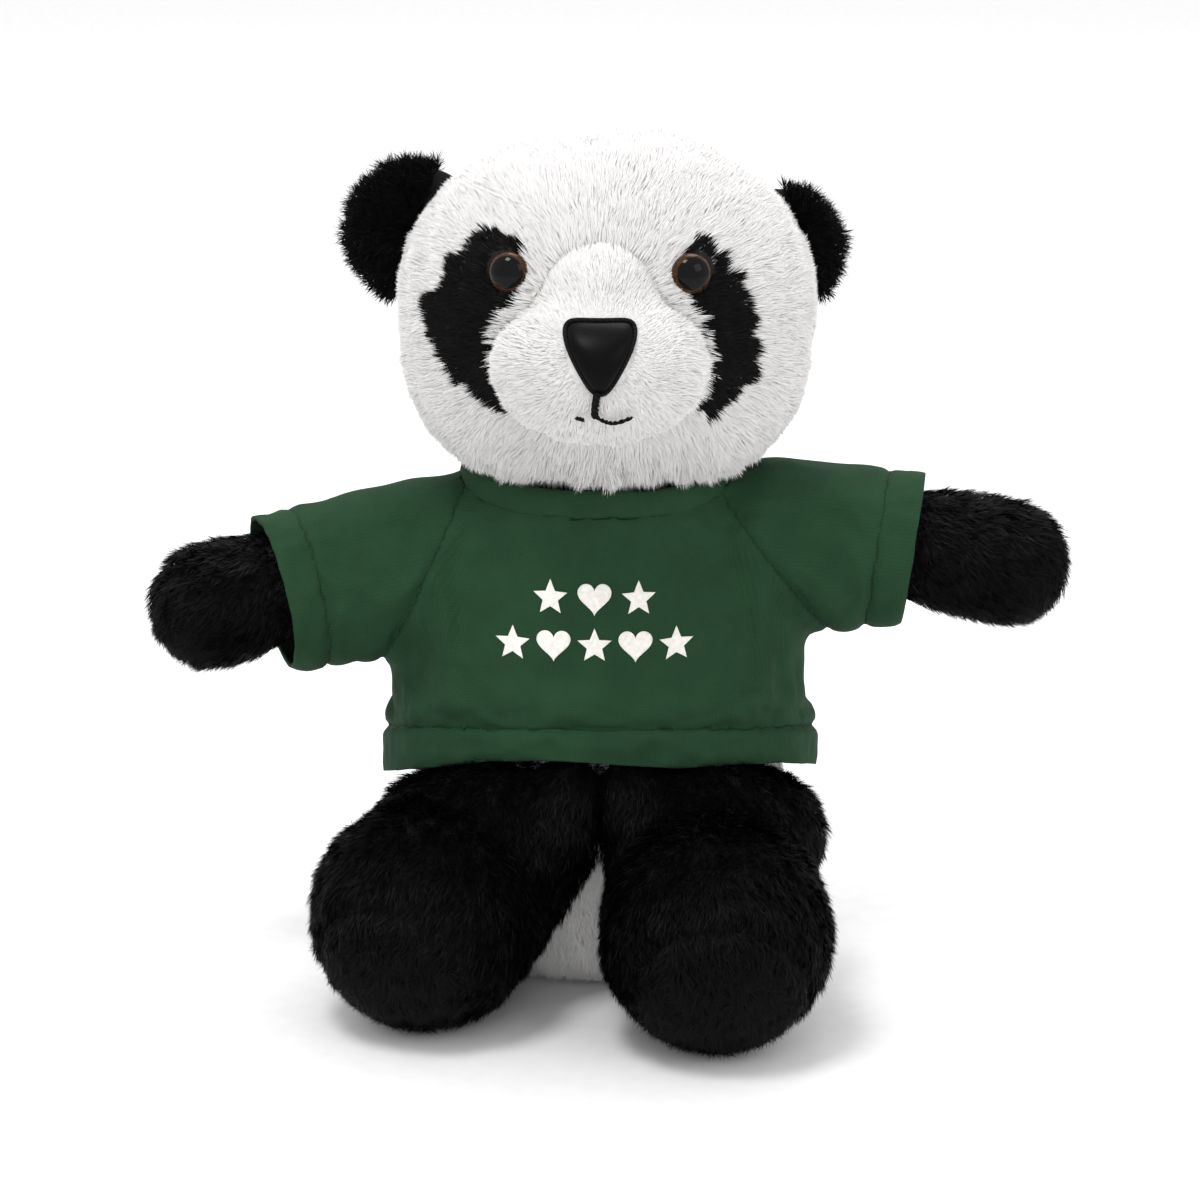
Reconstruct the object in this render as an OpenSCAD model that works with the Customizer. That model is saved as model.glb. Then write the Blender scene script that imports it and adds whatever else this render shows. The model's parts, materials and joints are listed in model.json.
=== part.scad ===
// Plush panda sitting with its arms held out, in a short-sleeved raglan shirt.
// +X is the panda's own left, -Y is the way it faces, +Z is up, and the origin is
// the middle of the flat seat it rests on. Pairs are given as [right, left].

/* [Torso] */
// Half width of the belly
torso_half_w = 42.5; // [40:0.5:43.5]
// Half depth of the belly
torso_half_d = 34.5; // [32:0.5:35.5]
// Height of the shoulders
torso_top = 105; // [103:0.5:106]
// Thickness of plush cloth with its pile
skin = 2.4; // [1.5:0.1:3]
// Height at which the black yoke starts
yoke_z = 94; // [88:1:98]

/* [Head] */
// Half width of the head
head_half_w = 48; // [46:0.5:50]
// Radius of the head seen from the side
head_r = 41; // [40:0.5:43]
// Middle of the head
head_at = [1.5, -3, 152]; // [-5:0.5:155]
// How far behind the middle of the head its side seam runs
head_seam = 6; // [4:0.5:8]
// Half width of the muzzle
muzzle_half_w = 21; // [18:0.5:23]
// Radius of the muzzle seen from the side
muzzle_r = 16; // [14:0.5:17]
// Middle of the muzzle
muzzle_at = [0, -42, 145.5]; // [-44:0.5:148]

/* [Face] */
// Radius of an eye
eye_r = 4.3; // [3.8:0.1:4.6]
// Height of an eye's dome
eye_dome = 3.3; // [2.8:0.1:3.6]
// Distance of each eye from the middle
eye_x = 18.8; // [17:0.2:20]
// Height of the eyes
eye_z = 165.5; // [164:0.5:167]
// Radius of an eye's shank
shank_r = 1.6; // [1.4:0.1:1.8]
// Length of an eye's shank
shank_len = 8; // [7:0.5:9]
// Radius of the washer that locks an eye
washer_r = 6; // [5:0.5:6.5]
// Width of the nose
nose_w = 15; // [13:0.5:16]
// Height of the nose
nose_h = 15; // [13:0.5:16]

/* [Ears] */
// Radius of an ear
ear_r = 17; // [15:0.5:18]
// How deep an ear's centre lies below the head's surface
ear_sink = 3; // [2:0.5:5]
// Angle of an ear round the head, above level
ear_angle = 22; // [18:1:28]
// Thickness of each of the two cloth layers of an ear
ear_layer = 2.6; // [2:0.1:3]
// How far an ear flaps each way
ear_flap = 20; // [10:1:22]

/* [Neck] */
// Height of the point the head turns and nods about
neck_z = 86; // [85:0.5:87]
// Radius of the round top of the torso
neck_r = 26; // [25:0.5:26.5]
// Thickness of the stuffing pad in the neck
neck_pad = 3.4; // [3:0.1:3.6]
// Half angle of the neck pad
neck_spread = 36; // [30:1:38]

/* [Arms] */
// Distance of each shoulder from the middle
shoulder_x = 39; // [38:0.5:40]
// Height of the right and the left shoulder
shoulder_z = [94, 97.5]; // [92:0.5:98]
// Length from the shoulder to the middle of the paw
arm_len = 52; // [48:1:54]
// Radius of an arm at the shoulder
arm_root_r = 13.4; // [12.5:0.1:13.6]
// Radius of a paw
paw_r = 13.8; // [13:0.1:14]
// How far each arm droops
arm_droop = [9.5, 7.5]; // [0:0.5:14]
// How far each arm points forwards
arm_sweep = [18, 6]; // [0:1:20]
// How far an arm lowers
arm_down = 30; // [20:1:32]
// How far an arm lifts
arm_up = 45; // [20:1:45]

/* [Legs] */
// Right hip joint
hip_right = [-24, -12, 27]; // [-26:0.5:28]
// Left hip joint
hip_left = [24, -17, 27]; // [-20:0.5:28]
// Length from the hip to the middle of the foot
leg_len = [36.5, 41]; // [34:0.5:42]
// Radius of a leg at the hip
thigh_r = 20.4; // [19:0.2:20.6]
// Radius of a foot
foot_r = 24.6; // [23:0.2:24.8]
// How far each leg turns outwards
leg_splay = [20, 2]; // [1:1:22]
// How far a leg lifts
leg_up = 15; // [5:1:15]
// How far a leg drops
leg_down = 45; // [20:1:45]
// Half angle of the sole panel seen from the middle of the foot
sole_spread = 56; // [50:1:58]
// How far the sole panel looks down
sole_tilt = 26; // [20:1:28]

/* [Shirt] */
// Thickness of the knitted cloth
knit = 1.4; // [1:0.1:1.6]
// Half width of the shirt at the hem
shirt_half_w = 47; // [46:0.5:48]
// Half depth of the shirt at the hem
shirt_half_d = 38; // [37.5:0.5:39]
// Height of the hem at the sides
hem_z = 44; // [43:0.5:46]
// How much the hem climbs over the lap
hem_tilt = 17; // [16:0.5:18]
// Depth of the hem band
hem_band = 9; // [7:0.5:10]
// Depth of the cuffs
cuff_band = 8; // [6:0.5:9]
// Length of each sleeve along its arm
sleeve_len = [36, 31]; // [30:0.5:37]
// Outer radius of a sleeve at the shoulder
sleeve_root_r = 16; // [15.6:0.1:16.2]
// Outer radius of a sleeve at the cuff
cuff_r = 16.6; // [16.2:0.1:17]
// Half width of the neckband
collar_half_w = 30; // [29:0.5:30.5]
// Half depth of the neckband
collar_half_d = 24.5; // [24:0.5:25]
// Height of the neckband's cloth
collar_band = 3.4; // [3:0.1:3.6]
// How far the neckband dips in front
collar_dip = 3; // [1:1:4]

/* [Hidden] */

$fn = 48;
hull_fn = 24;
sweep_fn = 20;
far = 200;
left = 1;
right = -1;

seam_gap = 0.1;
fill_gap = 0.15;
joint_gap = 0.4;
room_gap = 0.9;
collar_gap = 0.6;

white = "whitesmoke";
black = "#1c1c1e";
green = "#2c5234";
fill = "ivory";

function of_side(side, pair) = side < 0 ? pair[0] : pair[1];
function hip(side) = side < 0 ? hip_right : hip_left;
function shoulder(side) = [side * shoulder_x, 0, of_side(side, shoulder_z)];

// Rings [height, half width, half depth] of the torso, grown by g all round
function torso_rings(g) = [
  [-g, torso_half_w - 12 + g, torso_half_d - 9 + g],
  [8 - g / 2, torso_half_w - 4 + g, torso_half_d - 3 + g],
  [30, torso_half_w + g, torso_half_d + g],
  [58, torso_half_w - 1.5 + g, torso_half_d - 2 + g],
  [84, torso_half_w - 4.5 + g, torso_half_d - 5.5 + g],
  [98, torso_half_w - 9.5 + g, torso_half_d - 9.5 + g],
  [torso_top + g, torso_half_w - 15.5 + g, torso_half_d - 13.5 + g]
];

// Rings of the shirt's outer face, grown by g
function shirt_rings(g) = [
  [25, shirt_half_w + 0.5 + g, shirt_half_d + 0.5 + g],
  [50, shirt_half_w + g, shirt_half_d - 0.5 + g],
  [76, shirt_half_w - 2 + g, shirt_half_d - 3.5 + g],
  [96, shirt_half_w - 8 + g, shirt_half_d - 8.5 + g],
  [108 + g, shirt_half_w - 15.5 + g, shirt_half_d - 12.5 + g]
];

// ---- Shared shapes ----

module ringed(rings) {
  hull()
    for (ring = rings)
      translate([0, 0, ring[0]])
        scale([ring[1], ring[2], 1])
          cylinder(r = 1, h = 0.01, $fn = 2 * hull_fn);
}

// A ball stretched along X, round when seen from the side
module spun_oval(half_w, r) {
  steps = 20;
  rotate([0, 90, 0])
    rotate_extrude()
      polygon([for (i = [0:steps]) let (a = 180 * i / steps - 90) [r * cos(a), half_w * sin(a)]]);
}

// A stuffed limb along +Z with round ends
module limb(len, r0, r1) {
  rotate_extrude()
    intersection() {
      hull() {
        circle(r0);
        translate([0, len]) circle(r1);
      }
      translate([0, -far / 2]) square([far, far]);
    }
}

module front_of(y) translate([-far, y - 2 * far, -far]) cube([2 * far, 2 * far, 3 * far]);
module behind(y) translate([-far, y, -far]) cube([2 * far, 2 * far, 3 * far]);
module above(z) translate([-far, -far, z]) cube(2 * far);
module below(z) translate([-far, -far, z - 2 * far]) cube(2 * far);

// Everything above the hem line raised by z, which climbs over the lap
module above_hem(z) translate([0, 0, hem_z + z]) rotate([-hem_tilt, 0, 0]) above(0);

// ---- Where the moving parts go ----

function turn_x(v, a) = [v[0], v[1] * cos(a) - v[2] * sin(a), v[1] * sin(a) + v[2] * cos(a)];
function turn_y(v, a) = [v[0] * cos(a) + v[2] * sin(a), v[1], v[2] * cos(a) - v[0] * sin(a)];
function turn_z(v, a) = [v[0] * cos(a) - v[1] * sin(a), v[0] * sin(a) + v[1] * cos(a), v[2]];

// Each limb's rest angles, as one rotate() about its root that lays +Z along the limb
function arm_turn(side) =
  [0, side * (90 + of_side(side, arm_droop)), -side * of_side(side, arm_sweep)];
function leg_turn(side) =
  [90 + asin((hip(side)[2] - foot_r) / of_side(side, leg_len)), 0, side * of_side(side, leg_splay)];
function along(turn) = turn_z(turn_y(turn_x([0, 0, 1], turn[0]), turn[1]), turn[2]);

module on_arm(side) translate(shoulder(side)) rotate(arm_turn(side)) children();
module on_leg(side) translate(hip(side)) rotate(leg_turn(side)) children();

module ball_at(centre, r) translate(centre) sphere(r, $fn = sweep_fn);

// The room that a raised and lowered sleeve needs, as a hull for each way from rest
module arm_room(side) {
  r = max(sleeve_root_r, cuff_r) + room_gap;
  for (turn = [-arm_down, arm_up])
    hull() {
      ball_at(shoulder(side), r);
      for (a = [0, turn / 2, turn])
        ball_at(shoulder(side) + arm_len * turn_y(along(arm_turn(side)), -side * a), r);
    }
}

// The room that a leg needs between its highest and lowest place
module leg_room(side) {
  hull() {
    ball_at(hip(side), thigh_r + room_gap);
    for (a = [-leg_up, 0, leg_down / 2, leg_down])
      ball_at(hip(side) + of_side(side, leg_len) * turn_x(along(leg_turn(side)), a), foot_r + room_gap);
  }
}

module limb_rooms() {
  for (side = [left, right]) {
    arm_room(side);
    leg_room(side);
  }
}

// ---- Torso ----

module torso_form(g) {
  hull() {
    ringed(torso_rings(g));
    translate([0, 0, neck_z]) sphere(neck_r + g, $fn = hull_fn);
  }
}

module torso_skin() {
  color(white)
    difference() {
      torso_form(0);
      torso_form(-skin);
      above(yoke_z);
      limb_rooms();
    }
}

module shoulder_yoke() {
  color(black)
    difference() {
      torso_form(0);
      torso_form(-skin);
      below(yoke_z + seam_gap);
      limb_rooms();
    }
}

module torso_stuffing() {
  color(fill)
    difference() {
      torso_form(-skin - fill_gap);
      limb_rooms();
    }
}

// A blank folded tag sewn into the seam at the back of the seat
module care_label() {
  label = [14, 0.8, 16];
  color("white")
    translate([-label[0] / 2, torso_half_d + 1.2, 8])
      cube(label);
}

// ---- Shirt ----

module shirt_shell(out, in) {
  difference() {
    ringed(shirt_rings(out));
    ringed(shirt_rings(in));
    limb_rooms();
    translate([0, 0, torso_top - far / 4])
      scale([collar_half_w + collar_gap, collar_half_d + collar_gap, 1]) cylinder(r = 1, h = far);
  }
}

module shirt_panel() {
  intersection() {
    shirt_shell(0, -knit);
    above_hem(hem_band);
  }
}

module shirt_front() {
  color(green)
    intersection() {
      shirt_panel();
      front_of(-seam_gap / 2);
    }
}

module shirt_back() {
  color(green)
    intersection() {
      shirt_panel();
      behind(seam_gap / 2);
    }
}

module shirt_hem() {
  fold = 0.5;
  color(green)
    difference() {
      intersection() {
        shirt_shell(fold, -knit - fold);
        above_hem(0);
      }
      above_hem(hem_band - seam_gap);
    }
}

// A standing ring round the neck, a little lower in front
module shirt_neckband() {
  color(green)
    difference() {
      translate([0, 0, torso_top + 3])
        rotate([collar_dip, 0, 0])
          difference() {
            ringed([for (z = [0, collar_band]) [z, collar_half_w, collar_half_d]]);
            ringed([for (z = [-1, collar_band + 1]) [z, collar_half_w - knit, collar_half_d - knit]]);
          }
      limb_rooms();
    }
}

module star(r) {
  polygon([for (i = [0:9]) let (a = 90 + 36 * i, d = i % 2 == 0 ? r : 0.45 * r) [d * cos(a), d * sin(a)]]);
}

module heart(r) {
  scale(r / 16)
    polygon([for (i = [0:31]) let (a = 11.25 * i)
      [16 * pow(sin(a), 3), 13 * cos(a) - 5 * cos(2 * a) - 2 * cos(3 * a) - cos(4 * a)]]);
}

// Two rows of small hearts and stars across the chest
module shirt_print() {
  print_h = 0.35;
  mark_r = 3.9;
  rows = [[92, 3, 9.4], [82.5, 5, 8.8]];
  color("ivory")
    intersection() {
      difference() {
        ringed(shirt_rings(print_h));
        ringed(shirt_rings(0.03));
      }
      rotate([90, 0, 0])
        linear_extrude(far)
          for (row = rows)
            for (i = [0:row[1] - 1])
              translate([row[2] * (i - (row[1] - 1) / 2), row[0]])
                if (i % 2 == 0) star(mark_r);
                else heart(0.95 * mark_r);
    }
}

// ---- Neck ----

module neck_ball(r) translate([0, 0, neck_z]) sphere(r);

// The room that the top of the torso takes up, round at every turn of the head
module neck_room(gap) {
  rotate_extrude()
    intersection() {
      hull() {
        translate([0, neck_z]) circle(neck_r + gap);
        square([torso_half_w - 15.5 + gap, torso_top + gap]);
      }
      square(far);
    }
}

// The loose pad that the head turns on
module neck_stuffing() {
  reach = 2 * neck_r;
  color(fill)
    intersection() {
      difference() {
        neck_ball(neck_r + neck_pad);
        neck_room(joint_gap / 2);
      }
      translate([0, 0, neck_z])
        cylinder(r1 = 0, r2 = reach * tan(neck_spread), h = reach);
    }
}

// ---- Head ----

module head_form(g) translate(head_at) spun_oval(head_half_w + g, head_r + g);
module muzzle_form(g) translate(muzzle_at) spun_oval(muzzle_half_w + g, muzzle_r + g);

module head_shell() {
  difference() {
    head_form(0);
    head_form(-skin);
    neck_ball(neck_r + neck_pad + joint_gap / 2);
    for (side = [left, right]) eye_axis(side) eye_hole(shank_r + fill_gap);
  }
}

module head_front() {
  color(white)
    intersection() {
      head_shell();
      front_of(head_at[1] + head_seam - seam_gap);
    }
}

module head_back() {
  color(white)
    intersection() {
      head_shell();
      behind(head_at[1] + head_seam);
    }
}

module head_stuffing() {
  color(fill)
    difference() {
      head_form(-skin - fill_gap);
      neck_ball(neck_r + neck_pad + joint_gap / 2 + fill_gap);
      for (side = [left, right]) eye_axis(side) eye_hole(washer_r + fill_gap);
    }
}

module muzzle() {
  color(white)
    difference() {
      muzzle_form(0);
      head_form(seam_gap / 2);
    }
}

// A flat outline carried on to the front of the muzzle, between heights a and b
module laid_on_muzzle(a, b) {
  intersection() {
    difference() {
      muzzle_form(b);
      muzzle_form(a);
    }
    translate([0, muzzle_at[1], muzzle_at[2]])
      rotate([90, 0, 0]) linear_extrude(far) children();
  }
}

nose_h_mid = 6.5;
nose_low = nose_h_mid - nose_h / 2;

module nose() {
  corner = 2.4;
  pad_h = 2.4;
  color(black)
    laid_on_muzzle(seam_gap / 2, pad_h)
      hull() {
        for (x = [-1, 1])
          translate([x * (nose_w / 2 - corner), nose_h_mid + nose_h / 2 - 1.6 * corner])
            circle(corner, $fn = hull_fn);
        translate([0, nose_h_mid + nose_h / 2 - corner]) circle(corner, $fn = hull_fn);
        translate([0, nose_low + corner]) circle(corner, $fn = hull_fn);
      }
}

// One upright stitch and the smile below it
module mouth_stitches() {
  thread = 0.9;
  upright = 3.2;
  smile_r = 5;
  color(black)
    laid_on_muzzle(seam_gap / 2, thread)
      translate([0, nose_low - upright]) {
        translate([-thread / 2, 0]) square([thread, upright - 0.1]);
        for (x = [-1, 1])
          translate([x * smile_r * 0.8, smile_r * 0.6])
            difference() {
              circle(smile_r + thread / 2);
              circle(smile_r - thread / 2);
              translate([-far / 2, -smile_r * 0.6]) square(far);
            }
      }
}

// ---- Eyes ----

// Puts children at an eye, with +Z along the way it looks
module eye_axis(side) {
  dx = (side * eye_x - head_at[0]) / head_half_w;
  dz = (eye_z - head_at[2]) / head_r;
  dy = sqrt(1 - dx * dx - dz * dz);
  at = [side * eye_x, head_at[1] - head_r * dy, eye_z];
  look = [dx / head_half_w, -dy / head_r, dz / head_r];
  translate(at)
    rotate([0, acos(look[2] / norm(look)), atan2(look[1], look[0])])
      children();
}

module eye_hole(r) translate([0, 0, -shank_len - 1]) cylinder(r = r, h = shank_len + 4);

module eye(side) {
  lift = 0.3;
  steps = 12;
  rim = 0.6;
  color("black")
    eye_axis(side)
      rotate_extrude()
        polygon(concat(
          [[0, -shank_len], [shank_r, -shank_len], [shank_r, lift], [eye_r, lift], [eye_r, lift + rim]],
          [for (i = [1:steps]) let (a = 90 * i / steps)
            [eye_r * cos(a), lift + rim + (eye_dome - rim) * sin(a)]]
        ));
}

module eye_washer(side) {
  washer_h = 1.2;
  color("white")
    eye_axis(side)
      translate([0, 0, -skin - washer_h - 0.6])
        difference() {
          cylinder(r = washer_r, h = washer_h);
          translate([0, 0, -1]) cylinder(r = shank_r, h = washer_h + 2);
        }
}

module eye_left() eye(left);
module eye_right() eye(right);
module eye_washer_left() eye_washer(left);
module eye_washer_right() eye_washer(right);

// A drooping black patch from above the eye to the cheek
module eye_patch(side) {
  patch_h = 1.5;
  blobs = [[19.5, 164, 7.4], [27.5, 152, 8], [23.5, 139, 6.8]];
  color(black)
    difference() {
      intersection() {
        difference() {
          head_form(patch_h);
          head_form(seam_gap / 2);
        }
        translate([0, head_at[1], 0])
          rotate([90, 0, 0])
            linear_extrude(far)
              for (i = [1:len(blobs) - 1])
                hull()
                  for (b = [blobs[i - 1], blobs[i]])
                    translate([side * b[0], b[1]]) circle(b[2], $fn = hull_fn);
      }
      muzzle_form(0.2);
      eye_axis(side) translate([0, 0, -2]) cylinder(r = eye_r + 0.2, h = 8);
    }
}

module eye_patch_left() eye_patch(left);
module eye_patch_right() eye_patch(right);

// ---- Ears ----

ear_y = head_at[1] + head_seam;

function ear_base(side) = [
  head_at[0] + side * head_half_w * cos(ear_angle),
  ear_y,
  head_at[2] + head_r * sin(ear_angle)
];

// The way an ear sticks out, as an angle above level
ear_lean = atan((sin(ear_angle) / head_r) / (cos(ear_angle) / head_half_w));

// Puts children at an ear's hinge, with +Z out of the head and +X along the hinge
module on_ear(side) {
  translate(ear_base(side))
    rotate([0, side * (90 - ear_lean), 0])
      children();
}

module flap_ear(side, angle) {
  on_ear(side)
    rotate([angle, 0, 0])
      rotate([0, -side * (90 - ear_lean), 0])
        translate(-ear_base(side))
          children();
}

// One cloth layer of an ear, from y0 to y0 plus its thickness, cut to sit on the head
module ear_cloth(side, y0) {
  color(black)
    difference() {
      on_ear(side)
        translate([0, y0, -ear_sink])
          rotate([-90, 0, 0])
            cylinder(r = ear_r, h = ear_layer - seam_gap / 2);
      for (a = [-ear_flap, 0, ear_flap])
        flap_ear(side, a) head_form(joint_gap);
    }
}

module ear_front_left() ear_cloth(left, -ear_layer);
module ear_back_left() ear_cloth(left, seam_gap / 2);
module ear_front_right() ear_cloth(right, -ear_layer);
module ear_back_right() ear_cloth(right, seam_gap / 2);

// ---- Arms ----

module arm_form(g) limb(arm_len, arm_root_r + g, paw_r + g);

module arm_skin(side) {
  color(black)
    on_arm(side)
      difference() {
        arm_form(0);
        arm_form(-skin);
      }
}

module arm_stuffing(side) {
  color(fill) on_arm(side) arm_form(-skin - fill_gap);
}

module tube(z0, z1, out0, out1, in0, in1) {
  rotate_extrude()
    polygon([[in0, z0], [out0, z0], [out1, z1], [in1, z1]]);
}

module sleeve(side) {
  end = of_side(side, sleeve_len) - cuff_band;
  color(green)
    on_arm(side)
      difference() {
        tube(-sleeve_root_r / 3, end, sleeve_root_r, cuff_r, arm_root_r + fill_gap, cuff_r - knit);
        difference() {
          translate([0, 0, -far / 4]) cylinder(r = far, h = far / 4);
          sphere(sleeve_root_r);
        }
      }
}

module cuff(side) {
  end = of_side(side, sleeve_len);
  fold = 0.4;
  color(green)
    on_arm(side)
      tube(end - cuff_band + seam_gap, end, cuff_r, cuff_r, cuff_r - knit - fold, cuff_r - knit - fold);
}

module arm_skin_left() arm_skin(left);
module arm_stuffing_left() arm_stuffing(left);
module sleeve_left() sleeve(left);
module cuff_left() cuff(left);
module arm_skin_right() arm_skin(right);
module arm_stuffing_right() arm_stuffing(right);
module sleeve_right() sleeve(right);
module cuff_right() cuff(right);

// ---- Legs ----

module leg_form(side, g) limb(of_side(side, leg_len), thigh_r + g, foot_r + g);

module leg_shell(side) {
  difference() {
    leg_form(side, 0);
    leg_form(side, -skin);
  }
}

// Everything beyond the flat seam of the sole panel
module beyond_sole_seam(side, gap) {
  translate([0, 0, of_side(side, leg_len)])
    rotate([sole_tilt, 0, 0])
      above(foot_r * cos(sole_spread) + gap);
}

module leg_skin(side) {
  color(black)
    on_leg(side)
      difference() {
        leg_shell(side);
        beyond_sole_seam(side, 0);
      }
}

module foot_sole(side) {
  color(black)
    on_leg(side)
      intersection() {
        leg_shell(side);
        beyond_sole_seam(side, seam_gap);
      }
}

module leg_stuffing(side) {
  color(fill) on_leg(side) leg_form(side, -skin - fill_gap);
}

module leg_skin_left() leg_skin(left);
module foot_sole_left() foot_sole(left);
module leg_stuffing_left() leg_stuffing(left);
module leg_skin_right() leg_skin(right);
module foot_sole_right() foot_sole(right);
module leg_stuffing_right() leg_stuffing(right);

torso_skin();
shoulder_yoke();
torso_stuffing();
care_label();
shirt_front();
shirt_back();
shirt_hem();
shirt_neckband();
shirt_print();
neck_stuffing();
head_front();
head_back();
head_stuffing();
muzzle();
nose();
mouth_stitches();
eye_patch_left();
eye_patch_right();
eye_left();
eye_right();
eye_washer_left();
eye_washer_right();
ear_front_left();
ear_back_left();
ear_front_right();
ear_back_right();
arm_skin_left();
arm_stuffing_left();
sleeve_left();
cuff_left();
arm_skin_right();
arm_stuffing_right();
sleeve_right();
cuff_right();
leg_skin_left();
foot_sole_left();
leg_stuffing_left();
leg_skin_right();
foot_sole_right();
leg_stuffing_right();
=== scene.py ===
import json
import math
import bmesh
import bpy
import numpy as np
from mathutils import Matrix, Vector
from mathutils.bvhtree import BVHTree


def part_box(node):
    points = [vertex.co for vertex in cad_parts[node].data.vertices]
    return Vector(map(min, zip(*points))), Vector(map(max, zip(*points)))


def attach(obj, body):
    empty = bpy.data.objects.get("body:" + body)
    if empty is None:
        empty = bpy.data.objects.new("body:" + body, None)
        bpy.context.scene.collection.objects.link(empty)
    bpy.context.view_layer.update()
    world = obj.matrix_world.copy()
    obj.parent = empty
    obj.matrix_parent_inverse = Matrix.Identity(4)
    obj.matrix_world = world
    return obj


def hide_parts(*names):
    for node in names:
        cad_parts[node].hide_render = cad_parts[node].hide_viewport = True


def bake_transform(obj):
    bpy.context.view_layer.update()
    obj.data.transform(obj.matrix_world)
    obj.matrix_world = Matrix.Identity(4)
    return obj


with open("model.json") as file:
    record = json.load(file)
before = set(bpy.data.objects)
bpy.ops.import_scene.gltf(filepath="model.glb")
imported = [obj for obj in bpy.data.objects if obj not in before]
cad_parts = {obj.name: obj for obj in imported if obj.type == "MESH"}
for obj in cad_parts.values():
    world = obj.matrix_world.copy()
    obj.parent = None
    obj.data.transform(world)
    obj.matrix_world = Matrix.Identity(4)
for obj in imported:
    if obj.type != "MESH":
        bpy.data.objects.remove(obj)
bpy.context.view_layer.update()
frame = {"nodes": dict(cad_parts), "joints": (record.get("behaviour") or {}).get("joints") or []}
mm = 0.001
scene = bpy.context.scene
joints = {j["name"]: Vector(j["pos_m"]) for j in frame["joints"]}

# camera and studio

camera = {"lookAt": (0, 0, 82.5), "distance": 900, "height": 17, "lens": 120}
studio = {
    "world": 1.0,
    "key": {"at": (-280, -340, 1120), "size": 320, "power": 5.0},
    "fill": {"at": (680, -620, 640), "size": 500, "power": 1.2},
    "back": {"at": (120, 480, 980), "size": 500, "power": 3.4},
}


def toWorld(p):
    return Vector(p) * mm


def addCamera():
    tilt = math.radians(camera["height"])
    away = Vector((0, -math.cos(tilt), math.sin(tilt))) * camera["distance"] * mm
    bpy.ops.object.camera_add(location=toWorld(camera["lookAt"]) + away)
    cam = bpy.context.object
    cam.rotation_euler = (math.radians(90) - tilt, 0, 0)
    cam.data.lens = camera["lens"]
    cam.data.sensor_width = 36
    cam.data.clip_start = 0.05
    scene.camera = cam


def addSoftbox(name, s):
    bpy.ops.object.light_add(type="AREA", location=toWorld(s["at"]))
    light = bpy.context.object
    light.name = name
    light.data.size = s["size"] * mm
    light.data.energy = s["power"]
    aim = toWorld(camera["lookAt"]) - light.location
    light.rotation_euler = aim.to_track_quat("-Z", "Y").to_euler()


bpy.ops.object.select_all(action="DESELECT")
addCamera()
for lightName in ("key", "fill", "back"):
    addSoftbox(lightName, studio[lightName])
scene.view_settings.view_transform = "Standard"
world = bpy.data.worlds.new("studio")
scene.world = world
world.use_nodes = True
sky = world.node_tree.nodes["Background"]
sky.inputs["Color"].default_value = (1, 1, 1, 1)
sky.inputs["Strength"].default_value = studio["world"]

# materials


def linear(hexColour):
    parts = [int(hexColour[i:i + 2], 16) / 255 for i in (1, 3, 5)]
    return tuple([p / 12.92 if p < 0.04045 else ((p + 0.055) / 1.055) ** 2.4 for p in parts] + [1])


def startMaterial(name, roughness, **sockets):
    mat = bpy.data.materials.new(name)
    mat.use_nodes = True
    shader = mat.node_tree.nodes["Principled BSDF"]
    shader.inputs["Roughness"].default_value = roughness
    for socket, value in sockets.items():
        shader.inputs[socket.replace("_", " ")].default_value = value
    return mat, shader


def addNode(mat, kind, settings=None, links=None, **values):
    node = mat.node_tree.nodes.new("ShaderNode" + kind)
    for key, value in (settings or {}).items():
        setattr(node, key, value)
    for key, value in values.items():
        node.inputs[key.replace("_", " ")].default_value = value
    for key, source in (links or {}).items():
        mat.node_tree.links.new(source, node.inputs[key])
    return node


def connect(mat, source, shader, socket):
    mat.node_tree.links.new(source, shader.inputs[socket])


def addRamp(mat, source, stops):
    ramp = addNode(mat, "ValToRGB", links={"Fac": source})
    ramp.color_ramp.elements[0].position = stops[0][0]
    ramp.color_ramp.elements[0].color = linear(stops[0][1])
    ramp.color_ramp.elements[1].position = stops[-1][0]
    ramp.color_ramp.elements[1].color = linear(stops[-1][1])
    for place, colour in stops[1:-1]:
        ramp.color_ramp.elements.new(place).color = linear(colour)
    return ramp.outputs["Color"]


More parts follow.
